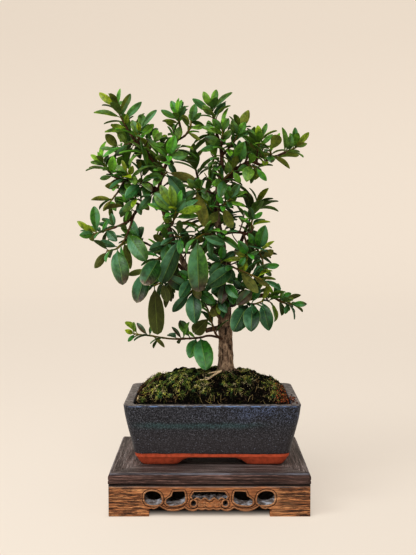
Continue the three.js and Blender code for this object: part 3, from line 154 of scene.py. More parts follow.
def linear(red, green, blue):
    """A colour given as on a screen, 0 to 255, in the linear values of a shader."""
    c = np.array([red, green, blue]) / 255
    return tuple(np.where(c <= 0.04045, c / 12.92, ((c + 0.055) / 1.055) ** 2.4)) + (1.0,)


def dimmed(colour, share):
    """A colour times a share of its light."""
    return tuple(min(1.0, c * share) for c in colour[:3]) + (1.0,)


def blended(tones, colour, share):
    """Draws the rows of tones towards one colour, by a share for each row."""
    tones[:, :3] += (np.array(colour[:3]) - tones[:, :3]) * share


def turned(points, turns):
    """Points turned round the stand's middle by quarter turns."""
    turn = turns * math.pi / 2
    x, y = points[:, 0], points[:, 1]
    c, s = math.cos(turn), math.sin(turn)
    return np.column_stack([x * c - y * s, x * s + y * c, points[:, 2]])


# Meshes


def ring_faces(rings, around, first=0):
    """Quads between rings of points that run round and round, each ring closed on itself."""
    i, j = np.meshgrid(np.arange(rings - 1), np.arange(around), indexing="ij")
    k = (j + 1) % around
    quads = np.stack([i * around + j, i * around + k, (i + 1) * around + k, (i + 1) * around + j], -1)
    return quads.reshape(-1, 4) + first


def tube_faces(rings, around):
    """Quads between rings, and a face over each end."""
    ring = np.arange(around)
    return [ring_faces(rings, around), np.array([ring[::-1], (rings - 1) * around + ring])]


def sheet_faces(rows, columns):
    """Quads of an open grid of points."""
    i, j = np.meshgrid(np.arange(rows - 1), np.arange(columns - 1), indexing="ij")
    a = i * columns + j
    return np.stack([a, a + 1, a + columns + 1, a + columns], -1).reshape(-1, 4)


def points_of(mesh):
    """The mesh's points in millimetres."""
    points = np.empty(len(mesh.vertices) * 3, np.float32)
    mesh.vertices.foreach_get("co", points)
    points = points.reshape(-1, 3).astype(float)
    points[:, :2] -= STAND_CENTRE
    return points / MM


def set_points(mesh, points):
    """Moves the mesh's points to places given in millimetres."""
    mesh.vertices.foreach_set("co", to_frame(points).astype(np.float32).ravel())
    mesh.update()


def set_tints(mesh, tints):
    """Gives each point of the mesh its own colour, which Shader.tint reads."""
    layer = mesh.color_attributes.new(name="tint", type="FLOAT_COLOR", domain="POINT")
    layer.data.foreach_set("color", np.asarray(tints, np.float32).ravel())


def new_piece(name, points, faces, materials, *, face_material=None, uv=None, tints=None, even=True,
              crisp=None):
    """One mesh object in the frame, from points in millimetres and faces of any length.

    uv and tints are values for each point; face_material is a slot number for each face. Edges
    between two points that are crisp stay sharp."""
    flat = [np.asarray(f, np.int64) for f in faces]
    sizes = np.concatenate([np.full(len(f), f.shape[1]) for f in flat])
    corners = np.concatenate([f.ravel() for f in flat])
    mesh = bpy.data.meshes.new(name)
    mesh.vertices.add(len(points))
    mesh.vertices.foreach_set("co", to_frame(points).astype(np.float32).ravel())
    mesh.loops.add(len(corners))
    mesh.loops.foreach_set("vertex_index", corners.astype(np.int32))
    mesh.polygons.add(len(sizes))
    starts = np.concatenate([[0], np.cumsum(sizes)[:-1]])
    mesh.polygons.foreach_set("loop_start", starts.astype(np.int32))
    mesh.polygons.foreach_set("use_smooth", np.full(len(sizes), even))
    if face_material is not None:
        mesh.polygons.foreach_set("material_index", np.asarray(face_material, np.int32))
    if uv is not None:
        layer = mesh.uv_layers.new(name="Surface")
        layer.data.foreach_set("uv", np.asarray(uv, np.float32)[corners].ravel())
    if tints is not None:
        set_tints(mesh, tints)
    mesh.update(calc_edges=True)
    if crisp is not None:
        ends = np.empty(2 * len(mesh.edges), np.int32)
        mesh.edges.foreach_get("vertices", ends)
        mesh.edges.foreach_set("use_edge_sharp", crisp[ends.reshape(-1, 2)].all(1))
    mesh.validate()
    for material in materials:
        mesh.materials.append(material)
    piece = bpy.data.objects.new(name, mesh)
    bpy.context.scene.collection.objects.link(piece)
    return piece


def dress(piece, slot, *nodes):
    """The piece rides on the one body and stands for its nodes, which are hidden. slot is not used."""
    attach(piece, "root")
    if nodes:
        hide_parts(*nodes)


def smooth_run(points, radii, step):
    """A smooth path through given points, about step apart: a cubic through each four neighbours."""
    rows = np.column_stack([points, radii]).astype(float)
    padded = np.vstack([2 * rows[0] - rows[1], rows, 2 * rows[-1] - rows[-2]])
    run = []
    for k in range(len(rows) - 1):
        before, start, end, after = padded[k : k + 4]
        count = max(2, int(np.linalg.norm(end[:3] - start[:3]) / step))
        t = (np.arange(count) / count)[:, None]
        run.append(0.5 * (2 * start + (end - before) * t
                          + (2 * before - 5 * start + 4 * end - after) * t**2
                          + (3 * start - before - 3 * end + after) * t**3))
    run.append(rows[-1:])
    run = np.vstack(run)
    return run[:, :3], run[:, 3]


def lengths(points):
    """The length of a path up to each of its points."""
    return np.concatenate([[0], np.cumsum(np.linalg.norm(np.diff(points, axis=0), axis=1))])


def tube(points, radii, sides, swell=None):
    """A closed tube: a circle of the path's radius, square to the path, at each of its points.

    swell(angles, run) may scale the radius, run being the length along the path."""
    along = unit(np.gradient(points, axis=0))
    chord = unit(points[-1] - points[0])
    start = np.eye(3)[np.argmin(np.abs(chord))]
    across = unit(start - along * (along @ start)[:, None])
    other = np.cross(along, across)
    angles = 2 * math.pi * np.arange(sides) / sides
    r = np.repeat(radii[:, None], sides, 1)
    if swell is not None:
        r = r * swell(angles[None, :], lengths(points)[:, None])
    ring = across[:, None] * np.cos(angles)[None, :, None] + other[:, None] * np.sin(angles)[None, :, None]
    return (points[:, None] + ring * r[..., None]).reshape(-1, 3), tube_faces(len(points), sides)


def gather(parts):
    """Several (points, face arrays, slots) as one. slots is a material's number for all of a part's
    face arrays or for each."""
    points, faces, slots, first = [], [], [], 0
    for coords, lists, numbers in parts:
        points.append(coords)
        for f, number in zip(lists, np.broadcast_to(numbers, len(lists))):
            faces.append(f + first)
            slots.append(np.full(len(f), number))
        first += len(coords)
    return np.vstack(points), faces, np.concatenate(slots)


# Shaders


class Value:
    """A socket of a shader on which sums can be written: each one adds a Math node."""

    def __init__(self, shader, socket):
        self.shader = shader
        self.socket = socket

    def __add__(self, other):
        return self.shader.math("ADD", self, other)

    def __sub__(self, other):
        return self.shader.math("SUBTRACT", self, other)

    def __rsub__(self, other):
        return self.shader.math("SUBTRACT", other, self)

    def __mul__(self, other):
        return self.shader.math("MULTIPLY", self, other)

    __radd__ = __add__
    __rmul__ = __mul__


class Shader:
    """A material whose nodes are added by calls, ending in one Principled surface."""

    def __init__(self, name, roughness, specular):
        self.material = bpy.data.materials.new(name)
        self.material.use_nodes = True
        self.tree = self.material.node_tree
        self.tree.nodes.clear()
        self.surface = self.tree.nodes.new("ShaderNodeBsdfPrincipled")
        output = self.tree.nodes.new("ShaderNodeOutputMaterial")
        self.tree.links.new(self.surface.outputs["BSDF"], output.inputs["Surface"])
        self.surface.inputs["Roughness"].default_value = roughness
        self.surface.inputs["Specular IOR Level"].default_value = specular
        self.place = self.node("ShaderNodeTexCoord", {}, {}, "Object")

    def node(self, kind, settings, inputs, output=0):
        """Adds a node. Settings come first, and stops fill a ramp; inputs are values or sockets."""
        made = self.tree.nodes.new(kind)
        for key, value in settings.items():
            if key == "stops":
                ramp = made.color_ramp
                while len(ramp.elements) < len(value):
                    ramp.elements.new(0.5)
                for element, (position, colour) in zip(ramp.elements, value):
                    element.position = position
                    element.color = colour
            else:
                setattr(made, key, value)
        for key, value in inputs.items():
            if isinstance(value, Value):
                self.tree.links.new(value.socket, made.inputs[key])
            else:
                made.inputs[key].default_value = value
        return Value(self, made.outputs[output])

    def math(self, operation, first, second=0.0):
        return self.node("ShaderNodeMath", {"operation": operation}, {0: first, 1: second})

    def scaled(self, scale):
        """The place on the piece, times a scale for each axis."""
        return self.node("ShaderNodeVectorMath", {"operation": "MULTIPLY"}, {0: self.place, 1: scale})

    def noise(self, size, detail=3.0, roughness=0.55, distortion=0.0):
        """Noise of about 0 to 1, with lumps of the given size in metres along each axis."""
        scale = tuple(1 / s for s in (size if isinstance(size, tuple) else (size,) * 3))
        inputs = {"Vector": self.scaled(scale), "Scale": 1.0, "Detail": detail,
                  "Roughness": roughness, "Distortion": distortion}
        return self.node("ShaderNodeTexNoise", {}, inputs, "Fac")

    def specks(self, size):
        """Distance from scattered points that lie about size metres apart, as a share of it."""
        inputs = {"Vector": self.scaled((1 / size,) * 3), "Scale": 1.0}
        return self.node("ShaderNodeTexVoronoi", {}, inputs, "Distance")

    def axis(self, name, place=None):
        """X, Y or Z of a place, in metres on the piece unless another is given."""
        return self.node("ShaderNodeSeparateXYZ", {}, {0: place or self.place}, name)

    def tint(self):
        """The piece's own colour at this place."""
        return self.node("ShaderNodeVertexColor", {"layer_name": "tint"}, {}, "Color")

    def red(self, colour):
        """The red part of a colour, as a number."""
        return self.node("ShaderNodeSeparateColor", {}, {0: colour}, "Red")

    def between(self, value, low, high):
        """0 where the value is below low, 1 above high, clamped."""
        settings = {"clamp": True, "interpolation_type": "SMOOTHSTEP"}
        return self.node("ShaderNodeMapRange", settings, {0: value, 1: low, 2: high, 3: 0.0, 4: 1.0})

    def above(self, low, high):
        """0 below the height low over the floor, 1 above high, both in millimetres."""
        return self.between(self.axis("Z"), low * MM, high * MM)

    def mix(self, factor, first, second, blend="MIX"):
        settings = {"data_type": "RGBA", "blend_type": blend, "clamp_factor": True}
        return self.node("ShaderNodeMix", settings, {0: factor, 6: first, 7: second}, 2)

    def multiplied(self, first, second):
        return self.mix(1.0, first, second, "MULTIPLY")

    def ramp(self, value, *stops):
        return self.node("ShaderNodeValToRGB", {"stops": stops}, {0: value}, "Color")

    def finish(self, colour, roughness=None, height=None, distance=0.0003, strength=1.0):
        """Joins the patterns to the surface. height feeds a bump of the given depth in metres."""
        self.tree.links.new(colour.socket, self.surface.inputs["Base Color"])
        if roughness is not None:
            self.tree.links.new(roughness.socket, self.surface.inputs["Roughness"])
        if height is not None:
            bump = self.node("ShaderNodeBump", {}, {"Height": height, "Distance": distance,
                                                     "Strength": strength})
            self.tree.links.new(bump.socket, self.surface.inputs["Normal"])
        return self.material


def board_wood(name, colour, pale, along_x):
    """Dark open-grained wood: long streaks and fine pores along the board, paler where it is
    worn, redder below its top edge and darkened there by painted shade, with a painted bluish
    sheen line along the arris above it."""
    shader = Shader(name, roughness=0.42, specular=0.34)

    def along(long, thin):
        return (long, thin, thin) if along_x else (thin, long, thin)

    streak = shader.noise(along(0.05, 0.0013), detail=5, roughness=0.65, distortion=0.4)
    pores = shader.noise(along(0.01, 0.0005), detail=3, roughness=0.7)
    wear = shader.noise(along(0.05, 0.012), detail=4)
    dark = dimmed(colour, 0.3)
    grain = shader.ramp(streak, (0.4, dark), (0.5, colour), (0.62, pale))
    pored = shader.mix(shader.between(pores, 0.42, 0.6), shader.mix(0.65, grain, dark), grain)
    worn = shader.mix(shader.between(wear, 0.5, 0.75) * 0.35, pored, pale)
    top = BOARD_HIGH[2]
    # Below the top's front edge the wood is multiplied darker and redder: partly a redder stain, partly
    # painted shade on the front face and underside.
    edge = 1 - shader.above(top - 1.6, top - 0.9)
    reddened_and_shaded = shader.mix(edge, worn, (0.8, 0.58, 0.52, 1.0), "MULTIPLY")
    # A bluish grey line along the upper arris, stronger where the wear pattern is: a painted sheen.
    line = shader.above(top - 2.2, top - 1.4) * (1 - shader.above(top - 0.8, top - 0.3))
    painted_sheen = shader.mix(line * (0.2 + shader.between(wear, 0.4, 0.6) * 0.4), reddened_and_shaded,
                        linear(128, 134, 148))
    height = shader.between(pores, 0.35, 0.6) + streak * 0.7
    sheen = shader.between(pores, 0.35, 0.65) * -0.1 + 0.5
    return shader.finish(painted_sheen, sheen, height, distance=0.00035)


def carved_wood(name, colour, dark, pale):
    """Brown wood with strong dark level streaks, plainer between the carved holes, with a painted
    shadow of the gap under the board along its top, and a painted bluish highlight below it."""
    shader = Shader(name, roughness=0.45, specular=0.3)
    streak = shader.noise((0.03, 0.03, 0.0011), detail=4, roughness=0.65, distortion=0.5)
    fine = shader.noise((0.008, 0.008, 0.0005), detail=3, roughness=0.7)
    patch = shader.noise(0.03, detail=2)
    grain = shader.ramp(streak, (0.41, dark), (0.5, colour), (0.6, pale))
    cut = shader.mix(shader.between(fine, 0.43, 0.51), shader.mix(0.85, grain, dark), grain)
    toned = shader.mix(shader.between(patch, 0.5, 0.7) * 0.4, cut, pale)
    aside = shader.math("ABSOLUTE", shader.axis("X") - STAND_CENTRE[0])
    calm = shader.mix((1 - shader.between(aside, 0.05, 0.062)) * 0.55, toned, colour)
    top = APRON_HEIGHT
    # A pale bluish grey line just under the top, patchy with noise: a painted highlight.
    painted_sheen = shader.above(top - 2.4, top - 1.7) * (0.25 + shader.between(patch, 0.35, 0.6) * 0.35)
    edged = shader.mix(painted_sheen, calm, linear(150, 146, 148))
    # The top millimetre or so almost black: a painted shadow of the gap under the board.
    gap_shadowed = shader.mix(shader.above(top - 1.3, top - 0.9) * 0.92, edged, linear(16, 11, 9))
    height = shader.between(fine, 0.35, 0.6) + streak * 0.8
    return shader.finish(gap_shadowed, height * -0.08 + 0.52, height, distance=0.0004)


def cut_wood_sheen(name, dark, colour, pale):
    """Wood of the slanting cuts, mottled dark brown to bluish grey, the bluish grey a painted sheen."""
    shader = Shader(name, roughness=0.42, specular=0.4)
    mottle = shader.noise((0.005, 0.005, 0.0016), detail=4, roughness=0.65)
    # The mottle's pale bluish grey is a painted sheen.
    worn = shader.ramp(mottle, (0.38, dark), (0.5, colour), (0.62, pale))
    return shader.finish(worn, mottle * -0.2 + 0.52, mottle, distance=0.0004)


def pot_glaze(colour, clay, band, edge):
    """Charcoal glaze with pale specks, a faint teal band that is a painted reflection, a painted
    bluish sheen on the upper wall, a blue line along the front of the rim that is partly glaze
    thinned there and partly a painted highlight, and bare clay below a slightly wavy line."""
    shader = Shader("speckled_glaze_over_clay", roughness=0.36, specular=0.32)
    high, across = shader.axis("Z"), shader.axis("X")
    left, right = ((POT_X + side * POT_HALF[0]) * MM + STAND_CENTRE[0] for side in (-1, 1))
    cloudy = shader.noise(0.02, detail=4)
    grainy = shader.noise(0.0011, detail=3, roughness=0.75)
    body = shader.ramp(grainy, (0.38, dimmed(colour, 0.3)), (0.5, colour), (0.64, linear(98, 100, 108)))
    glaze = shader.mix(shader.above(POT_FOOT + 44, POT_FOOT + 14) * 0.5, body, linear(68, 62, 64))
    specks = 1 - shader.between(shader.specks(0.0022), 0.08, 0.2)
    fine_specks = 1 - shader.between(shader.specks(0.0011), 0.1, 0.26)
    seen = shader.between(shader.noise(0.005, detail=2), 0.38, 0.56)
    glaze = shader.mix(specks * seen * 0.75, glaze, linear(146, 154, 174))
    glaze = shader.mix(fine_specks * 0.4, glaze, linear(96, 100, 112))
    # The faint teal band round two thirds of the height, fading out towards the ends: a painted reflection.
    middle = (POT_FOOT + 0.67 * (POT_RIM - POT_FOOT)) * MM
    away = shader.math("ABSOLUTE", high + (cloudy - 0.5) * 0.004 - middle)
    inward = shader.between(across, left, left + 0.03)
    inward = inward * (1 - shader.between(across, right - 0.06, right - 0.02))
    near = (1 - shader.between(away, 0.0, 0.0046)) * inward
    glaze = shader.mix(near * shader.between(grainy, 0.34, 0.62) * 0.8, glaze, band)
    # Blotches of blue over the upper wall: a painted sheen.
    blue = shader.between(across, left + 0.04, right - 0.02) * shader.above(POT_RIM - 24, POT_RIM - 4)
    blue = blue * shader.between(grainy + (cloudy - 0.5) * 0.3, 0.5, 0.6)
    glaze = shader.mix(blue * 0.8, glaze, linear(92, 106, 138))
    # A broken blue line along the front just under the rim: partly glaze thinned at the edge, partly a
    # painted highlight.
    face = STAND_CENTRE[1] - POT_HALF[1] * MM
    front = shader.between(shader.axis("Y"), face + 0.001, face + 0.0006)
    broken = shader.between(shader.noise((0.006, 0.02, 0.001), detail=3), 0.42, 0.6)
    lip = shader.above(POT_RIM - 1.9, POT_RIM - 1.2) * front
    glaze = shader.mix(lip * (broken * 0.75 + 0.08), glaze, edge)
    # The rim's flat top mottled grey-brown, its palest parts a painted sheen.
    land = shader.ramp(shader.noise(0.003, detail=4), (0.36, linear(58, 50, 48)),
                       (0.5, linear(104, 95, 91)), (0.66, linear(146, 138, 134)))
    glaze = shader.mix(shader.above(POT_RIM - 0.9, POT_RIM - 0.25) * 0.9, glaze, land)
    line = high + (cloudy - 0.5) * 0.003
    glazed = shader.between(line, (GLAZE_BOTTOM - 0.15) * MM, (GLAZE_BOTTOM + 0.15) * MM)
    bare = shader.ramp(shader.noise(0.004, detail=4), (0.3, dimmed(clay, 0.75)), (0.5, clay),
                       (0.7, dimmed(clay, 1.15)))
    gloss = glazed * -0.4 + 0.8 + (grainy - 0.5) * 0.2
    relief = grainy * 0.6 + cloudy * 0.8
    return shader.finish(shader.mix(glazed, bare, glaze), gloss, relief, distance=0.0003, strength=0.7)


def earth(colour, moss):
    """Dark crumbly soil, green where moss creeps over it."""
    shader = Shader("mossy_soil", roughness=0.95, specular=0.05)
    crumb = shader.noise(0.0018, detail=5, roughness=0.75)
    patch = shader.noise(0.009, detail=4, roughness=0.6)
    ground = shader.ramp(crumb, (0.5, dimmed(colour, 0.15)), (0.58, colour), (0.68, linear(104, 82, 62)))
    green = shader.ramp(crumb, (0.5, linear(3, 4, 2)), (0.66, dimmed(moss, 0.3)))
    grown = shader.mix(shader.between(patch, 0.5, 0.62), ground, green)
    return shader.finish(grown, None, crumb, distance=0.001)


def tinted(name, roughness, specular=0.12, size=0.001):
    """A matt finish in the piece's own tints, with a little mottling."""
    shader = Shader(name, roughness, specular)
    mottle = shader.noise(size, detail=3)
    shade = shader.ramp(mottle, (0.3, (0.45, 0.45, 0.45, 1)), (0.7, (1.15, 1.15, 1.15, 1)))
    return shader.finish(shader.multiplied(shader.tint(), shade), None, mottle, distance=0.0002)


def tree_bark(old, young):
    """Rough grey-brown bark with dark pits, reddish where the piece's tint marks thin wood."""
    shader = Shader("bark", roughness=0.85, specular=0.12)
    ridge = shader.noise((0.0028, 0.0028, 0.008), detail=5, roughness=0.65, distortion=0.6)
    pits = shader.specks(0.0024)
    patch = shader.noise(0.02, detail=3)
    worn = shader.ramp(ridge, (0.39, dimmed(old, 0.14)), (0.5, old), (0.61, linear(176, 154, 132)))
    fresh = shader.ramp(ridge, (0.38, dimmed(young, 0.3)), (0.56, young))
    wood = shader.mix(shader.red(shader.tint()), worn, fresh)
    pitted = shader.mix((1 - shader.between(pits, 0.05, 0.2)) * 0.6, wood, linear(30, 22, 18))
    mossy = shader.mix(shader.between(patch, 0.58, 0.75) * 0.2, pitted, linear(92, 92, 66))
    height = ridge + shader.between(pits, 0.0, 0.25) * 0.5
    return shader.finish(mossy, None, height, distance=0.0007)


def leaf_finish(name, below):
    """Leaf in its own tint with a paler midrib and veins: above glossy, with a cool sheen on one
    half where it is dark green, below matt and paler. The map has U along the leaf, V across it."""
    shader = Shader(name, roughness=0.36, specular=0.2 if below else 0.3)
    tint = shader.tint()
    flat = shader.node("ShaderNodeUVMap", {"uv_map": "Surface"}, {})
    run, across = shader.axis("X", flat), shader.axis("Y", flat)
    beside = shader.math("ABSOLUTE", across - 0.5)
    rib = 1 - shader.between(beside, 0.008, 0.035)
    wave = shader.math("SINE", (run * 11 - beside * 5.5) * (2 * math.pi))
    vein = shader.between(wave, 0.86, 1.0) * (1 - shader.between(beside, 0.36, 0.48))
    mottle = shader.noise(0.004, detail=4, roughness=0.6)
    patch = shader.noise(0.012, detail=2)
    shade = shader.ramp(mottle, (0.34, (0.4, 0.46, 0.38, 1)), (0.64, (1.35, 1.3, 1.16, 1)))
    blade = shader.multiplied(tint, shade)
    if below:
        blade = shader.mix(0.25, blade, linear(108, 112, 58))
    else:
        half = shader.between(across, 0.47, 0.53)
        sheen = (0.35 + shader.between(patch, 0.36, 0.64) * 0.65) * (0.06 + half * 0.94)
        sheen = sheen * (1 - shader.between(shader.red(tint), 0.04, 0.2))
        blade = shader.mix(sheen * 0.62, blade, linear(94, 142, 108))
    paler = shader.mix(0.45, blade, linear(158, 180, 92))
    veined = shader.mix(rib * 0.6 + vein * 0.12, blade, paler)
    edged = shader.mix(shader.between(beside, 0.44, 0.49) * 0.4, veined, linear(122, 146, 62))
    gloss = (patch - 0.5) * 0.2 + (0.62 if below else 0.36)
    height = mottle * 0.25 + (rib * 0.9 + vein * 0.35) * (1 if below else -1)
    return shader.finish(edged, gloss, height, distance=0.00022)


# The stand

# The outline of a board's front edge, [inset, height over the board's underside]
BOARD_FACE = (
    (1.3, 0.0), (0.5, 0.25), (0.1, 0.9), (0.0, 1.7), (0.05, 2.8), (0.6, 3.3), (0.65, 3.7),
    (0.1, 4.3), (0.0, 5.0), (0.0, 6.6), (0.25, 7.6), (1.0, 8.9), (1.7, 9.8), (2.6, 10.2),
)
# Half the gap between boards at a mitre, the gap behind a board and at an apron's end, and how deep
# a board's edge is worn
MITRE_GAP, JOINT_GAP, BOARD_WEAR = 0.25, 0.3, 0.16


def board(half_length, half_depth, turns):
    """A mitred rail: its outline carried along it between slanting ends, worn by a little noise."""
    low, back = BOARD_LOW[2], RAIL_WIDTH - JOINT_GAP
    outline = np.vstack([
        np.array(BOARD_FACE) + [0, low],
        np.column_stack([np.linspace(6, back, 6), np.full(6, BOARD_HIGH[2])]), [[back, low]],
        np.column_stack([np.linspace(back - 8, 4, 4), np.full(4, low)]),
    ])
    inset, height = outline.T
    x = np.linspace(-1, 1, 90)[:, None] * (half_length - MITRE_GAP - inset)
    points = np.stack([x, inset - half_depth + 0 * x, height + 0 * x], -1)
    worn = np.abs(rough(points + 40 * turns, 5.0, 3, seed=turns)) * BOARD_WEAR
    points[..., 1] += worn * np.clip(1 - inset / 6, 0, 1)
    points[..., 2] -= worn * (height > low + 5)
    return turned(points.reshape(-1, 3), turns), [f[:, ::-1] for f in tube_faces(*x.shape)]


def quadratic(start, through, end, count=8):
    """Points of a parabola from start to end that passes through its lowest place halfway."""
    start, through, end = (np.array(p, float) for p in (start, through, end))
    t = np.linspace(0, 1, count, endpoint=False)[:, None]
    control = 2 * through - (start + end) / 2
    return (1 - t) ** 2 * start + 2 * t * (1 - t) * control + t**2 * end


# An apron's lower edge: its foot's inner end, then the left bows with the lowest point [x, z] and
# the cusp [x, z] of each, then the lowest height of the middle bow
LONG_EDGE = (52.5, ((-47.3, 6.5, -43.3, 9), (-33, 4.6, -21.3, 7.4), (-15.5, 4.6, -9.9, 6.4),
                    (-6.6, 5.4, -3.3, 6.4)), 5.4)
SHORT_EDGE = (36, ((-26, 5, -17.5, 7.6), (-13, 4.7, -8.2, 6.4)), 5.2)


def scallops(foot_inner, bows, middle_low):
    """The bows of an apron's lower edge: its left half, its middle one, and the cusp between them."""
    at, runs = (2 - foot_inner, 7.1), []
    for low_x, low_z, cusp_x, cusp_z in bows:
        runs.append(quadratic(at, (low_x, low_z), (cusp_x, cusp_z)))
        at = (cusp_x, cusp_z)
    return np.vstack(runs), quadratic(at, (0, middle_low), (-at[0], at[1])), at


def apron_outline(half, edge):
    """Outline of an apron with its two half feet and its scalloped lower edge, in (x, z)."""
    left, middle, cusp = scallops(*edge)
    foot = edge[0]
    left = np.vstack([[[-half, APRON_HEIGHT], [-half, 0], [-foot, 0], [-foot, 4], [-foot - 2, 5.8]], left])
    return np.vstack([left, middle, [[-cusp[0], cusp[1]]], left[::-1] * [-1, 1]])


def round_hole(x, z, wide, high, lean=0.0, count=28):
    """An oval round (x, z), leaning by an angle."""
    angles = -2 * math.pi * np.arange(count) / count
    flat = np.column_stack([wide * np.cos(angles), high * np.sin(angles)])
    turn = np.array([[math.cos(lean), -math.sin(lean)], [math.sin(lean), math.cos(lean)]])
    return flat @ turn.T + [x, z]


def cloud_hole(side):
    """A hole like a small cloud, the same way round on either side of the middle."""
    points = np.vstack([
        [[31.5, 21.8]], quadratic((22.4, 22.1), (21.3, 19.4), (21.6, 16)),
        quadratic((21.6, 16), (26.3, 13.6), (33.5, 12.7)),
        quadratic((33.5, 12.7), (36.5, 14.5), (36.6, 16.9)), [[36.6, 16.9], [32.7, 18.3]],
    ])
    return (points * [side, 1])[::side]


def slot_hole():
    """The long hole in the middle, with four bows along its lower side."""
    bows = [quadratic((x + 3.1, 17.6), (x, 18.9), (x - 3.1, 17.6), 6) for x in (9.3, 3.1, -3.1, -9.3)]
    return np.vstack([[[-13, 21.7], [-4, 21.7], [4, 21.7], [13, 21.7], [15, 19.4]], *bows,
                      [[-12.4, 17.6], [-15, 19.4]]])


def chiselled(hole, drop):
    """Outline of a hole where it opens on the front: its lower side is cut back by drop."""
    low, high = hole[:, 1].min(), hole[:, 1].max()
    share = smooth((high - hole[:, 1]) / (high - low), 0.25, 0.85)
    middle = (hole[:, 0].min() + hole[:, 0].max()) / 2
    wide = (hole[:, 0] - middle) * (1 + 0.1 * share) + middle
    return np.column_stack([wide, hole[:, 1] - drop * share])


def carved_holes(long):
    """The holes of a long or a short apron, each with the drop of its slanting cut."""
    holes = [(slot_hole(), 3.2)]
    for side in (-1, 1):
        if long:
            holes += [(round_hole(side * 49, 17.9, 7.3, 4.3, side * 0.12), 3.6),
                      (cloud_hole(side), 3.2), (round_hole(side * 13.8, 12, 2, 2), 0.8)]
        else:
            holes.append((round_hole(side * 26, 17, 7.3, 4.5, side * 0.12), 3.2))
    return holes


# How far the carved face lies behind the box, and how deep the slanting cuts go
FRONT_SETBACK, CHISEL_DEPTH = 0.5, 4.2


def upright(flat, depth):
    """Points (x, z) of a face as points at a depth."""
    return np.column_stack([flat[:, 0], np.full(len(flat), depth), flat[:, 1]])


def apron(half, inner_half, edge, holes, turns):
    """A carved board between a front and a back outline. Each hole is wider on the front, and its
    sloping cut ends CHISEL_DEPTH behind the face. The ends are mitred."""
    outer = apron_outline(half, edge)
    loops = [(outer, outer)] + [(hole, chiselled(hole, drop)) for hole, drop in holes]
    rings, walls, slots, lids, first = [], [], [], ([], []), 0
    for k, (back, front) in enumerate(loops):
        n = len(back)
        for depth, flat in zip((FRONT_SETBACK, CHISEL_DEPTH, APRON_THICK), (front, back, back)):
            ring = upright(flat, depth)
            end = np.abs(flat[:, 0]) > half - 1e-6
            ring[end, 0] -= np.sign(flat[end, 0]) * (depth + JOINT_GAP)
            rings.append(ring)
        walls.append(ring_faces(3, n, first))
        slots.append(np.repeat([int(k > 0), 2 * int(k > 0)], n))
        lids[0].append((rings[-3], first))
        lids[1].append((rings[-1], first + 2 * n))
        first += 3 * n
    points, faces = np.vstack(rings), [np.vstack(walls)]
    for side, lid in enumerate(lids):
        numbers = np.concatenate([start + np.arange(len(ring)) for ring, start in lid])
        filled = tessellate_polygon([[Vector((p[0], p[2], 0)) for p in ring] for ring, _ in lid])
        triangles = numbers[np.array(filled)]
        corner = points[triangles]
        facing = np.cross(corner[:, 1] - corner[:, 0], corner[:, 2] - corner[:, 0])[:, 1]
        wrong = (facing > 0) != bool(side)
        triangles[wrong] = triangles[wrong][:, ::-1]
        faces.append(triangles)
        slots.append(np.full(len(triangles), 2 * side))
    points[:, 1] -= inner_half
    return turned(points, turns), faces, np.concatenate(slots), [front for _, front in loops[1:]]


def curl(x, z, size, hand):
    """A carved curl: a spiral of one and a half turns that closes in on its middle."""
    t = np.linspace(0, 1, 26)
    angle = hand * 3 * math.pi * t + math.pi / 2
    r = size * (1 - 0.82 * t)
    return np.column_stack([x + r * np.cos(angle), z + 0.8 * r * np.sin(angle)])


def bead(outline, depth, radius, grow):
    """A thin carved line round a hole: a small circle carried round its outline, set out from it."""
    points = upright(outline + unit(outline - outline.mean(0)) * grow, depth)
    side = unit(np.cross(unit(np.roll(points, -1, 0) - np.roll(points, 1, 0)), [0, 1, 0]))
    angles = 2 * math.pi * np.arange(6)[:, None] / 6
    ring = side[:, None] * np.cos(angles) + np.array([0, 1, 0]) * np.sin(angles)
    coords = (points[:, None] + radius * ring).reshape(-1, 3)
    return coords, [ring_faces(len(points) + 1, 6) % len(coords)]


# The pot


def rounded_outline(half_x, half_y, radius, corner=9, side=22):
    """Points round a rectangle with arcs at its corners, the same count for any size."""
    points = []
    signs = ((1, 1), (-1, 1), (-1, -1), (1, -1))
    for k, (sx, sy) in enumerate(signs):
        angles = (k + np.linspace(0, 1, corner)) * math.pi / 2
        centre = np.array([sx * (half_x - radius), sy * (half_y - radius)])
        arc = centre + radius * np.column_stack([np.cos(angles), np.sin(angles)])
        nx, ny = signs[(k + 1) % 4]
        after = np.array([nx * (half_x - radius), ny * (half_y - radius)])
        turn = (k + 1) * math.pi / 2
        begin = after + radius * np.array([math.cos(turn), math.sin(turn)])
        t = (np.arange(1, side) / side)[:, None]
        points += [arc, arc[-1] + (begin - arc[-1]) * t]
    return np.vstack(points)


def foot_lift(x, y):
    """How far the underside is cut up between the corner feet: one arch along each direction."""
    along = smooth(33 - np.abs(x), 0, 11)
    aside = smooth(20 - np.abs(y), 0, 8)
    return FOOT_ARCH * np.maximum(along, aside)


# The pot's section from the foot over the rim to the floor: [height over the foot, inset, corner
# radius], with a clay foot up to 7, a step to 12, the wall, the rim, and five rings inside
POT_WALL = (
    (0.0, 15.4, 6.0), (0.25, 14.8, 6.3), (1.2, 14.1, 6.5), (3.5, 12.7, 6.7), (6.0, 11.3, 6.9),
    (7.2, 10.6, 7.0), (7.7, 10.1, 7.0), (8.2, 9.9, 7.0), (10.2, 9.45, 7.0), (10.8, 9.2, 7.0),
    (11.2, 8.85, 7.0), (12.2, 8.65, 7.0), (18.0, 7.5, 7.1), (24.0, 6.1, 7.3), (30.0, 4.75, 7.5),
    (36.0, 3.4, 7.6), (42.0, 2.05, 7.8), (48.0, 0.95, 8.0), (53.6, 0.3, 8.0), (54.8, 0.12, 8.0),
    (55.5, 0.1, 8.0), (55.95, 0.3, 7.9), (56.2, 0.75, 7.6), (56.28, 1.4, 7.0), (56.15, 4.0, 6.0),
    (56.0, 7.0, 5.5), (55.6, 8.3, 5.3), (54.4, 8.95, 5.0), (50.6, 9.3, 5.0), (40.0, 11.0, 5.0),
    (20.0, 15.0, 5.0), (12.0, 17.0, 5.0),
)


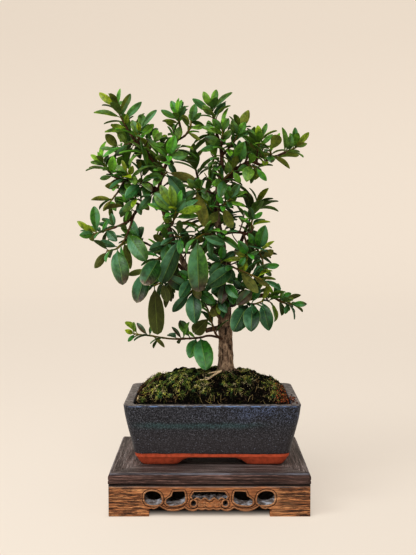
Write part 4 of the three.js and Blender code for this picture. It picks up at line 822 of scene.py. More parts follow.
def pot_surface():
    """Rounded rectangles carried up the outside, over the rim and down the inside, with the arches
    between the feet raised out of the lowest ones, and the wall a little uneven."""
    rings = []
    for shrink in np.linspace(0.06, 0.94, 12):
        flat = rounded_outline(*(POT_HALF - POT_WALL[0][1]), POT_WALL[0][2]) * shrink
        rings.append(np.column_stack([flat, POT_FOOT + foot_lift(*flat.T)]))
    for height, inset, radius in POT_WALL:
        flat = rounded_outline(*(POT_HALF - inset), radius)
        lift = foot_lift(*flat.T) * max(0.0, 1 - height / 7.5)
        rings.append(np.column_stack([flat, POT_FOOT + height + lift]))
    floor = rings[-1]
    rings += [floor * [shrink, shrink, 1] for shrink in (0.6, 0.25)]
    points = np.array(rings)
    swing = rough(points, 16.0, 2, seed=5) * 0.12
    wall = (points[..., 2] > GLAZE_BOTTOM + 2) & (points[..., 2] < POT_RIM - 2)
    points -= unit(points * [1, 1, 0]) * (np.abs(swing) * wall)[..., None]
    points[..., 0] += POT_X
    return points.reshape(-1, 3), tube_faces(*points.shape[:2])


# The soil and what lies on it


def level(x, y):
    """Places (x, y) as points at height 0."""
    return np.stack([x, y, np.zeros_like(x)], -1)


def mound_top(x, y):
    """Height of the soil: a flat-topped mound over the rim, uneven by a sum of waves."""
    across, deep = np.abs(x - POT_X) / BED_HALF[0], np.abs(y) / BED_HALF[1]
    waves = (1.1 * np.sin(x * 0.21 + 1.3 * np.sin(y * 0.17)) + 0.9 * np.sin(y * 0.33 + x * 0.08)
             + 0.6 * np.sin(x * 0.47 - y * 0.39))
    swell = np.maximum(0, (0.16 + 0.84 * (1 - across**3.2)) * (1 - deep**2.6))
    return POT_RIM - 1.2 + MOUND_RISE * swell + waves * (0.25 + 0.75 * swell)


def soil_height(x, y):
    """The mound with its lumps and crumbs, sunk to just under the rim at its edge."""
    lumps = 1.1 * rough(level(x, y), 7.0, 2, seed=1) + 1.2 * rough(level(x, y), 2.4, 3, seed=2)
    heap = 1.8 * np.exp(-((x - TRUNK_FOOT[0]) ** 2 + (y - TRUNK_FOOT[1]) ** 2) / 130)
    edge = np.minimum(1 - np.abs(x - POT_X) / BED_HALF[0], (1 - np.abs(y) / BED_HALF[1]) * 0.7)
    edge = smooth(edge, 0.0, 0.05)
    rim = POT_RIM - 0.6 + 0.3 * (mound_top(x, y) - POT_RIM)
    return rim * (1 - edge) + mound_top(x, y) * edge + lumps * (0.35 + 0.65 * edge) + heap


def soil_surface(step=0.62):
    """A grid of (x, y) whose corners are drawn in to arcs, raised by soil_height, on a plain plug."""
    half = BED_HALF - SOIL_GAP
    radius = 5.0
    columns, rows = (int(2 * h / step) for h in half)
    x, y = np.meshgrid(np.linspace(-half[0], half[0], columns), np.linspace(-half[1], half[1], rows))
    dx = np.abs(x) - (half[0] - radius)
    dy = np.abs(y) - (half[1] - radius)
    corner = (dx > 0) & (dy > 0)
    scale = np.where(corner, np.maximum(dx, dy) / np.maximum(np.hypot(dx, dy), 1e-9), 1)
    x = np.where(corner, np.sign(x) * (half[0] - radius + dx * scale), x) + POT_X
    y = np.where(corner, np.sign(y) * (half[1] - radius + dy * scale), y)
    top = np.stack([x, y, soil_height(x, y)], -1).reshape(-1, 3)
    number = np.arange(rows * columns).reshape(rows, columns)
    loop = np.concatenate([number[0, :-1], number[:-1, -1], number[-1, :0:-1], number[:0:-1, 0]])
    low = top[loop]
    low[:, 2] = POT_FLOOR + SOIL_GAP
    low[:, :2] = (low[:, :2] - [POT_X, 0]) * ((half - 8) / half) + [POT_X, 0]
    below = len(top) + np.arange(len(loop))
    skirt = np.column_stack([loop, below, np.roll(below, -1), np.roll(loop, -1)])
    return np.vstack([top, low]), [sheet_faces(rows, columns), skirt, below[None, ::-1]]


def scatter(count, seed, keep):
    """Seeded places (x, y) on the soil, each kept with the chance that keep(x, y) gives."""
    rng = np.random.default_rng(seed)
    half = BED_HALF - 1.5
    x = POT_X + rng.uniform(-half[0], half[0], count)
    y = rng.uniform(-half[1], half[1], count)
    kept = rng.uniform(0, 1, count) < keep(x, y)
    return x[kept], y[kept], rng


def moss_share(x, y):
    """Where moss grows: in patches, thin round the trunk, at the ends and along the front."""
    patches = smooth(rough(level(x, y), 11.0, 3, seed=8), -0.7, 0.3)
    trunk = smooth(np.hypot(x - TRUNK_FOOT[0], y - TRUNK_FOOT[1]), 9, 17)
    side = smooth(BED_HALF[0] - np.abs(x - POT_X), 2, 12)
    front = smooth(y + BED_HALF[1], 2, 12)
    return patches * trunk * side * (0.08 + 0.92 * front)


def moss_tufts(x, y, rng, each, spread, tall):
    """Cushions of thin three-sided spikes: three foot points and a tip each, shorter and leaning
    further out away from the middle. Returns the points, the faces and each spike's cushion."""
    offset = rng.normal(0, spread, (len(x), each, 2))
    foot = (np.stack([x, y], -1)[:, None] + offset).reshape(-1, 2)
    foot = np.clip(foot, [POT_X, 0] - (BED_HALF - 0.8), [POT_X, 0] + (BED_HALF - 0.8))
    foot = np.column_stack([foot, soil_height(*foot.T)])
    n = len(foot)
    away = offset.reshape(-1, 2) / spread
    lean = away * 0.55 + rng.normal(0, 0.25, (n, 2))
    height = np.repeat(tall, each) * rng.uniform(0.5, 1, n) * np.exp(-(away**2).sum(1) / 4)
    tip = foot + unit(np.column_stack([lean, np.ones(n)])) * height[:, None]
    spin = rng.uniform(0, 2 * math.pi, n)[:, None] + np.arange(3) * 2 * math.pi / 3
    ring = foot[:, None] + 0.42 * np.stack([np.cos(spin), np.sin(spin), np.full_like(spin, -1.5)], -1)
    points = np.concatenate([ring, tip[:, None]], 1).reshape(-1, 3)
    base = 4 * np.arange(n)[:, None]
    faces = np.vstack([base + [0, 1, 3], base + [1, 2, 3], base + [2, 0, 3], base + [2, 1, 0]])
    return points, faces, np.repeat(np.arange(len(x)), each)


def tints_for(count, per, rng, *colours):
    """A tint for each of count pieces, drawn between the given colours, repeated for its points."""
    colours = np.array(colours)
    pick = rng.integers(0, len(colours), count)
    other = rng.integers(0, len(colours), count)
    t = rng.uniform(0, 1, count)[:, None]
    mixed = colours[pick] * (1 - t) + colours[other] * t
    return np.repeat(mixed, per, 0)


def lying_strands(x, y, rng, length, radius, lift):
    """Curved threads on the soil: a three-sided section carried along a bent path of six points."""
    n = len(x)
    steps = np.linspace(-0.5, 0.5, 6)
    heading = rng.uniform(0, 2 * math.pi, n)[:, None]
    long = rng.uniform(*length, n)[:, None]
    bend = rng.uniform(-0.9, 0.9, n)[:, None]
    angle = heading + bend * steps
    px = x[:, None] + np.cumsum(np.cos(angle) * long / 5, 1) - np.cos(heading) * long / 2
    py = y[:, None] + np.cumsum(np.sin(angle) * long / 5, 1) - np.sin(heading) * long / 2
    px = np.clip(px, POT_X - BED_HALF[0], POT_X + BED_HALF[0])
    py = np.clip(py, -BED_HALF[1], BED_HALF[1])
    pz = soil_height(px, py) + rng.uniform(0.2, lift, n)[:, None] * (0.4 + np.abs(steps) * 1.2)
    path = np.stack([px, py, pz], -1)
    side = np.stack([-np.sin(angle), np.cos(angle), np.zeros_like(angle)], -1)
    up = np.array([0.0, 0.0, 1.0])
    r = rng.uniform(*radius, n)[:, None, None, None]
    turn = np.arange(3) * 2 * math.pi / 3
    section = side[:, :, None] * np.cos(turn)[:, None] + up * np.sin(turn)[:, None]
    points = (path[:, :, None] + r * section).reshape(-1, 3)
    base = 18 * np.arange(n)[:, None, None]
    quads = (ring_faces(6, 3)[None] + base).reshape(-1, 4)
    ends = (np.array([[2, 1, 0], [15, 16, 17]])[None] + base).reshape(-1, 3)
    return points, [quads, ends]


def crumbs(x, y, z, rng, size):
    """Small lumps of eight faces, squashed and turned at random, half sunk in what they lie on."""
    corners = np.array([[1, 0, 0], [0, 1, 0], [-1, 0, 0], [0, -1, 0], [0, 0, 1], [0, 0, -1]], float)
    faces = np.array([[0, 1, 4], [1, 2, 4], [2, 3, 4], [3, 0, 4],
                      [1, 0, 5], [2, 1, 5], [3, 2, 5], [0, 3, 5]])
    n = len(x)
    r = rng.uniform(*size, n)[:, None, None] * rng.uniform(0.6, 1.2, (n, 6, 1))
    turn = rng.uniform(0, 2 * math.pi, n)
    c, s = np.cos(turn)[:, None], np.sin(turn)[:, None]
    flat = np.stack([corners[:, 0] * c - corners[:, 1] * s, corners[:, 0] * s + corners[:, 1] * c,
                     np.broadcast_to(corners[:, 2], (n, 6))], -1)
    points = (np.stack([x, y, z + 0.2], -1)[:, None] + flat * r).reshape(-1, 3)
    return points, (faces[None] + 6 * np.arange(n)[:, None, None]).reshape(-1, 3)


# The tree, laid out as its solids are. A drawing through the trunk gives u to the right and w up in
# units of DRAWING_UNIT from the middle of the stand's foot, and y is the real depth in mm. A point
# off the drawing's plane lies on the line of sight from EYE through its drawn place.

DRAWING_UNIT = 0.9265
EYE = np.array([-1.3, -834.0, 256.0])
Y, L, G, B, O, P, D = YOUNG, LIGHT, GREEN, BLUE, UNDER, PURPLE, DRY = (
    "young", "light", "green", "blue", "underside", "purple", "dry")

# Trunk and limbs: points [u, w, y, radius in mm]
TRUNK = [
    [17, 104, 1, 7.4], [17, 116, 1, 8.0], [17, 124, 0, 8.8], [16.5, 131, 0, 7.5], [16.5, 140, 0, 6.8],
    [16.5, 152, 0, 6.5], [16, 166, 0, 6.5], [15.5, 178, 0, 6.2], [15, 190, 0, 5.6], [13, 203, 2, 4.7],
    [12, 218, 4, 4.1], [14, 238, 5, 3.6], [11, 260, 3, 3.2], [7, 284, 1, 2.8], [8, 305, -1, 2.4],
    [12, 325, -2, 2.1], [12, 345, -2, 1.8], [8, 360, -1, 1.5], [6, 370, 0, 1.3],
]

LIMBS = [
    # the main left limb, from the fork up to the crown's middle
    [[13, 176, 0, 4.2], [5, 191, -3, 3.6], [-6, 206, -6, 3.2], [-18, 222, -8, 2.9], [-30, 242, -8, 2.6],
     [-38, 262, -6, 2.4], [-45, 284, -5, 2.1], [-50, 304, -4, 1.9], [-46, 325, -2, 1.7],
     [-36, 346, 0, 1.5], [-28, 366, 0, 1.2]],
    # the arm that drops to the lower left
    [[-49, 300, -4, 1.8], [-56, 306, -3, 1.7], [-64, 297, -2, 1.6], [-72, 287, -2, 1.5],
     [-80, 276, -4, 1.3]],
    # the arm that rises to the upper left
    [[-46, 326, -2, 1.6], [-58, 338, -3, 1.5], [-66, 348, -4, 1.4], [-73, 355, -4, 1.3],
     [-76, 359, -4, 1.2]],
    # the arm to the left, under the upper one
    [[-50, 306, -4, 1.6], [-62, 314, 0, 1.5], [-72, 316, 2, 1.4], [-84, 317, 3, 1.3], [-95, 320, 2, 1.2]],
    # the right arm near the top
    [[10, 312, -2, 1.9], [20, 322, -3, 1.7], [30, 330, -4, 1.6], [41, 335, -4, 1.5], [52, 332, -4, 1.4],
     [59, 338, -4, 1.3], [68, 341, -4, 1.2]],
    # the right arm at half height
    [[11, 262, 3, 1.9], [20, 265, 0, 1.7], [30, 265, -3, 1.5], [38, 263, -6, 1.3]],
    # the low right branch
    [[15, 193, 0, 2.4], [28, 199, -5, 2], [41, 198, -8, 1.7], [52, 202, -6, 1.5], [61, 203, -6, 1.2]],
    # the cut stub
    [[15, 170, 0, 2.6], [4, 168, -4, 2.4], [-4, 166, -6, 2.2]],
    # limbs of the hidden side
    [[12, 222, 4, 2.6], [20, 236, 16, 2.2], [30, 252, 27, 1.8], [38, 272, 33, 1.4]],
    [[-10, 212, -6, 2.4], [-22, 224, 10, 2.2], [-38, 238, 24, 1.8], [-56, 250, 32, 1.4]],
    [[12, 248, 4, 2.2], [2, 268, 18, 1.9], [-8, 292, 30, 1.6], [-10, 312, 34, 1.3]],
    [[9, 308, -1, 1.8], [20, 318, 12, 1.6], [34, 330, 22, 1.3]],
    [[-44, 334, -1, 1.5], [-54, 342, 12, 1.4], [-68, 350, 20, 1.2]],
]

ROOTS = [
    [[19, 128, 1, 4.6], [9, 122, -13, 1.8], [-2, 116, -23, 1.3], [-12, 108, -31, 0.9]],
    [[16, 128, 1, 4.6], [21, 118, -14, 2.2], [28, 108, -20, 1.1]],
    [[18, 127, 1, 5.4], [33, 121, 5, 2.6], [42, 114, 9, 1.4]],
    [[15, 127, 1, 5.2], [2, 121, 9, 2.6], [-8, 113, 14, 1.4]],
]

# A thin dry root that lies on the soil, [u, w, y]
PALE_ROOT = ((12, 121, -17), (6, 119, -21), (0, 117, -25), (-5, 115, -28))

# Leafy shoots of the front: name, how many more leaves on the far side, the twig's points
# [u, w, y], and its leaves [tip u, tip w, root u, root w, seen width in units, tone]
SPRAYS = [
    ("top_left", 3, [[-76, 359, -4], [-80, 365, -4], [-85, 374, -5], [-89, 382, -6], [-91, 388, -6]],
     [[-109, 403, -91, 387, 7, Y], [-88, 407, -91, 388, 4, L], [-100, 402, -91, 385, 4, B],
      [-78, 402, -89, 382, 7, Y], [-67, 394, -85, 375, 7, B], [-115, 383, -87, 378, 5, Y],
      [-81, 382, -83, 371, 5, Y], [-98, 371, -82, 368, 5, Y], [-104, 364, -80, 365, 4, Y]]),
    ("upper_left_inner", 2, [[-70, 352, -4], [-70, 360, -9], [-68, 367, -11]],
     [[-52, 386, -69, 366, 6, G], [-77, 376, -70, 360, 7, B], [-71, 374, -69, 364, 5, Y],
      [-55, 372, -69, 359, 7, G], [-62, 330, -70, 357, 5, L]]),
    ("upper_left_right", 2, [[-62, 343, -4], [-58, 350, -6], [-55, 355, -6]],
     [[-47, 364, -56, 354, 6, B], [-62, 366, -59, 350, 3, L], [-44, 352, -57, 351, 5, G]]),
    ("upper_left_outer", 3, [[-73, 355, -4], [-81, 352, 0], [-88, 349, 3], [-93, 347, 4]],
     [[-103, 362, -90, 349, 9, O], [-91, 364, -82, 352, 6, B], [-93, 341, -79, 352, 7, B],
      [-109, 348, -93, 347, 4, B], [-106, 339, -86, 350, 4, G]]),
    ("left_tip", 3, [[-95, 320, 2], [-101, 327, 1], [-105, 333, 0]],
     [[-118, 342, -105, 332, 5, Y], [-118, 334, -104, 330, 4, B], [-120, 329, -102, 327, 3, O],
      [-111, 345, -105, 333, 4, G], [-102, 355, -105, 333, 5, G], [-96, 341, -97, 322, 9, G],
      [-109, 318, -96, 321, 5, B]]),
    ("left_under", 3, [[-84, 317, 3], [-89, 308, -2], [-95, 300, -5], [-100, 294, -6]],
     [[-104, 311, -87, 311, 7, O], [-84, 299, -86, 313, 9, B], [-118, 297, -97, 298, 5, O],
      [-106, 286, -97, 298, 5, O], [-93, 286, -98, 296, 6, G], [-69, 301, -86, 312, 8, B]]),
    ("left_top", 2, [[-76, 316, 2], [-79, 320, -6], [-82, 324, -9]],
     [[-87, 337, -82, 323, 4, Y], [-76, 331, -80, 321, 6, Y], [-93, 331, -80, 321, 7, B],
      [-66, 328, -79, 319, 4, G]]),
    ("left_inner", 2, [[-68, 292, -2], [-75, 294, -9], [-83, 291, -12]],
     [[-105, 288, -83, 291, 5, O], [-90, 283, -77, 293, 7, B], [-68, 282, -72, 293, 6, B],
      [-86, 303, -80, 292, 6, G]]),
    ("far_left", 4, [[-82, 271, -4], [-94, 270, -6], [-106, 266, -7], [-116, 263, -8]],
     [[-115, 291, -113, 265, 10, G], [-132, 276, -115, 264, 6, Y], [-130, 262, -115, 263, 8, G],
      [-101, 277, -108, 266, 4, G], [-124, 272, -112, 264, 5, Y], [-92, 256, -103, 267, 9, B],
      [-98, 284, -95, 270, 6, B]]),
    ("left_hanging", 2, [[-75, 283, -3], [-79, 271, -12], [-85, 257, -16], [-92, 249, -20],
      [-103, 246, -20]],
     [[-87, 212, -92, 248, 17, D], [-115, 229, -102, 246, 8, O], [-110, 256, -90, 249, 7, B],
      [-63, 236, -82, 264, 16, G], [-79, 228, -85, 256, 8, O]]),
    ("front_left_hanging", 2, [[-30, 242, -8], [-40, 241, -18], [-50, 239, -25], [-58, 232, -28],
      [-65, 225, -28]],
     [[-66, 212, -51, 239, 18, D], [-73, 194, -64, 226, 16, D], [-82, 222, -62, 228, 6, O]]),
    ("low_left_hanging", 3, [[-18, 222, -8], [-32, 220, -20], [-45, 216, -28], [-56, 211, -31]],
     [[-52, 162, -55, 211, 16, O], [-42, 195, -47, 215, 9, O], [-44, 189, -35, 219, 7, O],
      [-70, 206, -55, 211, 6, G]]),
    ("front_long_leaf", 1, [[-36, 257, -6], [-33, 261, -22], [-28, 260, -35]],
     [[-48, 214, -29, 260, 16, B], [-54, 246, -34, 260, 6, O]]),
    ("front_folded_leaf", 2, [[11, 256, 4], [4, 262, -12], [-5, 263, -27], [-13, 259, -38]],
     [[-11, 205, -12, 259, 20, D], [16, 253, -8, 262, 8, B], [31, 246, 1, 262, 6, G],
      [2, 240, -2, 262, 6, B]]),
    ("front_middle", 2, [[12, 228, 4], [20, 231, -12], [26, 229, -20], [38, 224, -22], [54, 217, -22]],
     [[-2, 211, 24, 230, 16, B], [5, 230, 20, 231, 5, B], [49, 204, 30, 228, 10, O],
      [60, 211, 42, 222, 6, O], [72, 208, 54, 217, 5, B], [36, 240, 28, 228, 6, G]]),
    ("below_fork", 2, [[-6, 206, -6], [-12, 208, -16], [-20, 205, -21]],
     [[-14, 173, -17, 206, 16, B], [-37, 185, -19, 205, 9, B], [-43, 221, -19, 205, 13, B],
      [6, 194, -14, 207, 11, G]]),
    ("right_of_fork", 2, [[14, 206, 2], [20, 210, -9], [33, 210, -13], [46, 207, -15]],
     [[10, 196, 18, 209, 9, P], [24, 192, 22, 210, 10, G], [27, 192, 44, 207, 12, P]]),
    ("low_right_hanging", 2, [[36, 199, -7], [38, 194, -15], [45, 193, -18], [54, 196, -17]],
     [[24, 165, 39, 194, 18, B], [42, 165, 43, 193, 17, B], [60, 166, 53, 196, 14, B]]),
    ("low_right_tip", 3, [[61, 203, -6], [69, 197, -7], [76, 194, -8], [83, 193, -8]],
     [[98, 193, 82, 193, 6, G], [85, 199, 74, 195, 4, Y], [74, 206, 71, 196, 4, Y],
      [82, 204, 69, 197, 6, G], [92, 202, 73, 195, 5, O], [55, 214, 66, 200, 4, Y],
      [69, 214, 67, 199, 7, G], [76, 183, 79, 193, 5, G]]),
    ("right_young", 3, [[34, 264, -4], [37, 254, -12], [38, 246, -15], [38, 238, -17]],
     [[24, 246, 38, 240, 5, Y], [29, 257, 38, 243, 9, G], [15, 236, 38, 238, 5, Y],
      [31, 224, 38, 238, 9, Y], [50, 246, 38, 241, 4, L]]),
    ("right_dark", 3, [[38, 263, -6], [44, 256, -5], [48, 248, -5], [53, 238, -5], [54, 230, -5]],
     [[39, 264, 46, 252, 7, G], [56, 272, 49, 247, 13, G], [65, 256, 50, 245, 4, Y],
      [64, 247, 52, 239, 7, O], [42, 240, 52, 240, 5, B], [70, 232, 54, 230, 6, G],
      [44, 221, 54, 232, 8, B], [62, 221, 54, 230, 5, Y]]),
    ("right_small", 2, [[38, 263, -6], [43, 267, -5], [42, 273, -6], [43, 278, -6]],
     [[41, 290, 43, 277, 7, B], [61, 275, 42, 271, 3, Y], [29, 280, 42, 274, 4, G],
      [34, 287, 43, 277, 4, G], [53, 285, 43, 277, 5, G]]),
    ("middle_right", 2, [[8, 284, 1], [10, 288, -8], [15, 293, -14], [19, 296, -18], [21, 299, -20]],
     [[23, 269, 13, 291, 10, O], [1, 275, 10, 288, 9, O], [30, 313, 20, 297, 8, B],
      [20, 311, 18, 295, 7, G], [38, 305, 19, 297, 4, L], [36, 290, 17, 294, 4, L],
      [7, 303, 14, 292, 6, G]]),
    ("upper_middle_under", 2, [[8, 306, -1], [13, 315, -10], [18, 321, -13], [24, 327, -14]],
     [[10, 299, 15, 317, 10, B], [2, 312, 14, 316, 8, G], [31, 314, 23, 326, 6, G],
      [18, 335, 20, 323, 7, B]]),
    ("right_arm_under", 2, [[36, 333, -4], [40, 331, -12], [47, 329, -15]],
     [[37, 315, 40, 331, 12, B], [57, 316, 46, 329, 6, G], [28, 326, 38, 332, 6, G]]),
    ("right_arm_crown", 2, [[47, 333, -4], [47, 342, -8], [49, 350, -10], [50, 356, -10]],
     [[37, 368, 49, 352, 4, G], [48, 371, 50, 355, 7, Y], [57, 373, 50, 356, 5, L],
      [63, 362, 49, 350, 5, L], [42, 357, 47, 342, 7, O]]),
    ("right_arm_inner", 2, [[24, 325, -3], [27, 334, -10], [29, 338, -12]],
     [[35, 355, 28, 336, 13, G], [16, 343, 27, 335, 6, B]]),
    ("right_arm_outer", 2, [[59, 338, -4], [61, 342, -10], [60, 347, -12]],
     [[69, 361, 60, 346, 11, O], [80, 328, 61, 342, 5, O], [49, 340, 60, 343, 5, O]]),
    ("right_tip", 3, [[68, 341, -4], [77, 345, -5], [86, 349, -6]],
     [[72, 369, 74, 344, 5, G], [81, 362, 79, 346, 8, B], [85, 369, 85, 349, 6, G],
      [99, 364, 85, 348, 6, Y], [97, 353, 86, 349, 4, Y], [89, 341, 76, 344, 5, O]]),
    ("top_right", 3, [[12, 342, -2], [20, 349, -5], [26, 357, -7], [29, 366, -7]],
     [[39, 386, 29, 366, 9, O], [36, 374, 27, 360, 8, G], [22, 376, 27, 361, 8, B],
      [44, 366, 26, 357, 5, G]]),
    ("top_middle_front", 2, [[12, 346, -2], [12, 352, -11], [13, 360, -14], [13, 368, -14]],
     [[19, 388, 13, 368, 4, G], [19, 378, 13, 364, 6, L], [3, 377, 13, 366, 7, G],
      [22, 366, 13, 356, 7, B], [-5, 359, 12, 353, 9, B], [-9, 346, 12, 352, 6, L],
      [-9, 369, 13, 360, 5, B], [14, 352, 13, 364, 5, L]]),
    ("top_middle", 3, [[6, 370, 0], [4, 378, -3], [2, 387, -4]],
     [[-6, 404, 2, 387, 7, G], [7, 406, 2, 387, 7, G], [23, 403, 3, 384, 5, B], [16, 393, 4, 380, 7, B],
      [-17, 397, 3, 383, 7, B], [-7, 391, 4, 380, 7, B]]),
    ("top_left_middle", 3, [[-28, 366, 0], [-30, 374, -2], [-31, 380, -3]],
     [[-48, 386, -30, 376, 6, G], [-38, 395, -31, 379, 7, G], [-30, 398, -31, 380, 4, L],
      [-47, 375, -30, 373, 4, O], [-32, 356, -29, 371, 8, G], [-24, 390, -31, 378, 7, B]]),
    ("top_inner", 2, [[-32, 356, 0], [-24, 361, -8], [-19, 369, -10], [-18, 376, -10]],
     [[-14, 392, -18, 375, 8, B], [-8, 383, -18, 374, 5, G], [-9, 356, -22, 364, 4, O],
      [-5, 370, -20, 368, 5, G], [-27, 381, -19, 371, 6, O]]),
    ("centre_left_crown", 2, [[-41, 336, -1], [-43, 338, -12], [-40, 341, -17]],
     [[-34, 361, -41, 340, 11, G], [-63, 358, -43, 339, 6, L], [-21, 342, -41, 340, 9, B],
      [-28, 352, -42, 339, 4, Y], [-54, 339, -43, 338, 6, Y], [-12, 334, -41, 340, 4, Y],
      [-33, 322, -43, 337, 6, L]]),
    ("centre_left_large", 2, [[-47, 318, -3], [-44, 323, -14], [-42, 325, -18]],
     [[-24, 301, -43, 324, 13, B], [-14, 318, -43, 325, 8, O], [-60, 322, -45, 321, 6, G]]),
    ("centre_rosette", 1, [[-41, 270, -6], [-37, 273, -20], [-35, 280, -29], [-33, 287, -35]],
     [[-49, 312, -33, 286, 9, Y], [-39, 312, -33, 287, 8, Y], [-55, 304, -34, 283, 11, G],
      [-28, 307, -33, 286, 6, G], [-24, 297, -33, 286, 8, B], [-11, 297, -34, 283, 6, B],
      [-7, 290, -34, 284, 8, Y], [-11, 281, -35, 279, 6, G], [-47, 281, -36, 275, 8, Y],
      [-54, 267, -37, 273, 6, G], [-62, 293, -35, 279, 5, G], [-9, 269, -37, 273, 4, Y],
      [-21, 262, -38, 272, 5, L]]),
    ("centre_dark", 1, [[8, 302, -1], [-3, 306, -10], [-13, 308, -16]],
     [[-4, 270, -13, 308, 12, O], [-28, 296, -12, 308, 9, B], [-1, 296, -7, 307, 7, B],
      [-22, 318, -13, 308, 7, G]]),
    ("low_left", 3, [[13, 157, 0], [1, 161, -5], [-10, 159, -7], [-25, 158, -8], [-40, 158, -8],
      [-59, 161, -8], [-69, 162, -9], [-76, 163, -9]],
     [[-76, 175, -76, 163, 4, Y], [-85, 167, -76, 163, 5, Y], [-82, 155, -75, 163, 4, G],
      [-73, 174, -62, 161, 5, P], [-59, 171, -60, 161, 3, L], [-45, 149, -57, 161, 4, O],
      [-38, 170, -28, 158, 4, P], [-20, 175, -26, 158, 4, L], [-20, 138, -13, 159, 13, G],
      [-3, 126, -9, 159, 19, G], [-22, 166, -14, 159, 3, L]]),
    ("red_stem", 2, [[13, 156, 0], [7, 162, -12], [2, 176, -14], [-1, 186, -14], [-4, 192, -15]],
     [[-15, 164, 1, 180, 14, O], [-13, 197, -3, 189, 5, L]]),
]

# Small shoots that stand before the trunk and the limbs, in the same form
INNER_SPRAYS = [
    ("inner_trunk_high", 2, [[14, 238, 5], [13, 237, -8], [12, 234, -16]],
     [[25, 216, 12, 234, 11, B], [1, 222, 12, 234, 10, G], [13, 252, 13, 236, 8, G],
      [26, 246, 13, 236, 7, B], [-3, 244, 12, 235, 7, B]]),
    ("inner_trunk_middle", 2, [[12, 220, 4], [14, 218, -9], [15, 214, -17]],
     [[12, 193, 15, 214, 10, P], [29, 199, 15, 214, 10, G], [2, 204, 14, 215, 9, B],
      [29, 218, 15, 215, 7, L], [0, 219, 14, 216, 6, O]]),
    ("inner_fork", 1, [[14, 196, 1], [11, 197, -9], [9, 196, -13]],
     [[3, 180, 9, 196, 9, O], [18, 184, 9, 196, 8, B], [-4, 193, 10, 197, 7, G]]),
    ("inner_left_low", 2, [[-12, 214, -7], [-14, 218, -16], [-18, 219, -21]],
     [[-30, 199, -18, 219, 11, B], [-10, 198, -17, 218, 9, O], [-31, 226, -18, 219, 8, G],
      [-6, 227, -16, 218, 8, B]]),
    ("inner_left_high", 2, [[-34, 250, -7], [-38, 254, -15], [-43, 254, -19]],
     [[-60, 248, -43, 254, 9, B], [-46, 236, -42, 254, 9, G], [-56, 262, -43, 254, 7, O],
      [-26, 244, -38, 254, 8, B]]),
    ("inner_left_upper", 1, [[-66, 315, 1], [-67, 314, -5], [-69, 313, -10]],
     [[-84, 299, -69, 313, 11, B], [-57, 322, -68, 314, 6, G]]),
    ("inner_left_arm", 1, [[-54, 304, -3], [-55, 304, -8], [-56, 303, -13]],
     [[-70, 287, -56, 303, 8, B], [-45, 296, -56, 303, 7, G]]),
    ("inner_left_elbow", 1, [[-66, 294, -2], [-68, 296, -8], [-71, 298, -12]],
     [[-87, 286, -71, 298, 8, B], [-60, 287, -70, 297, 6, O]]),
    ("inner_right_low", 2, [[28, 199, -5], [30, 204, -12], [34, 207, -16]],
     [[20, 190, 34, 207, 9, P], [44, 192, 34, 207, 9, B], [42, 220, 34, 208, 7, G],
      [24, 217, 33, 207, 7, B]]),
]

# Leafy shoots of the hidden side: name, root and tip of the twig [u, w, y], how many leaves
FAR_SPRAYS = [
    ["far_right_middle", [38, 272, 33], [48, 292, 42], 11],
    ["far_right_low", [30, 252, 27], [48, 238, 40], 10],
    ["far_left_middle", [-56, 250, 32], [-76, 256, 40], 11],
    ["far_left_low", [-38, 238, 24], [-46, 214, 40], 10],
    ["far_centre_top", [-10, 312, 34], [-16, 334, 42], 11],
    ["far_centre", [-8, 292, 30], [8, 284, 50], 10],
    ["far_top_right", [34, 330, 22], [44, 350, 34], 10],
    ["far_top_left", [-68, 350, 20], [-80, 364, 30], 10],
]


def place(u, w, y):
    """The point at depth y that stands at (u, w) on the drawing."""
    k = (y - EYE[1]) / -EYE[1]
    return np.array([EYE[0] + (u * DRAWING_UNIT - EYE[0]) * k, y, EYE[2] + (w * DRAWING_UNIT - EYE[2]) * k])


TRUNK_FOOT = place(*TRUNK[2][:3])


def nearest_on(points, target):
    """Nearest place on a run of points: its point, its share t of segment i, i, and how far it is."""
    step = np.diff(points, axis=0)
    t = np.clip(((target - points[:-1]) * step).sum(1) / (step**2).sum(1), 0, 1)
    foot = points[:-1] + step * t[:, None]
    distance = np.linalg.norm(foot - target, axis=1)
    i = int(np.argmin(distance))
    return foot[i], t[i], i, distance[i]


def seated(point, axes):
    """The point drawn onto the nearest of the axes."""
    return min((nearest_on(bearer, point) for bearer, _ in axes), key=lambda seat: seat[3])[0]


def limb_axes():
    """Axes of the trunk, the limbs and the roots, each limb's first point drawn onto what bears it."""
    axes = []
    for rows in (TRUNK, *LIMBS, *ROOTS):
        points = np.array([place(*row[:3]) for row in rows])
        if axes:
            points[0] = seated(points[0], axes)
        axes.append((points, np.array([row[3] for row in rows], float)))
    return axes


AXES = limb_axes()


class Twig:
    """The axis of a leafy shoot, its radius and its length so far at each of its points."""

    def __init__(self, points, radii=None):
        self.points = np.array(points, float)
        self.points[0] = seated(self.points[0].copy(), AXES)
        self.radii = np.linspace(TWIG_ROOT, TWIG_TIP, len(points)) if radii is None else radii
        self.runs = lengths(self.points)

    def at(self, run):
        """The point and the heading after a run of that many mm, headings blended between points."""
        last = len(self.points) - 1
        i = 0
        while i < last - 1 and self.runs[i + 1] < run:
            i += 1
        t = (run - self.runs[i]) / (self.runs[i + 1] - self.runs[i])
        headings = [unit(self.points[min(k + 1, last)] - self.points[max(k - 1, 0)]) for k in (i, i + 1)]
        blend = min(1, max(0, t))
        heading = unit(headings[0] * (1 - blend) + headings[1] * blend)
        return self.points[i] + (self.points[i + 1] - self.points[i]) * t, heading


# Radii of a twig, a leaf's stalk as a share of its length and its half width, how far a blade is
# bowed and folded as a share of its length and half width, and the space kept round it
TWIG_ROOT, TWIG_TIP = 1.15, 0.8
PETIOLE, PETIOLE_HALF = 0.12, 0.55
BOW, FOLD = 0.07, 0.22
BLADE_THICK, BESIDE, NEAR = 1.2, 0.8, 60
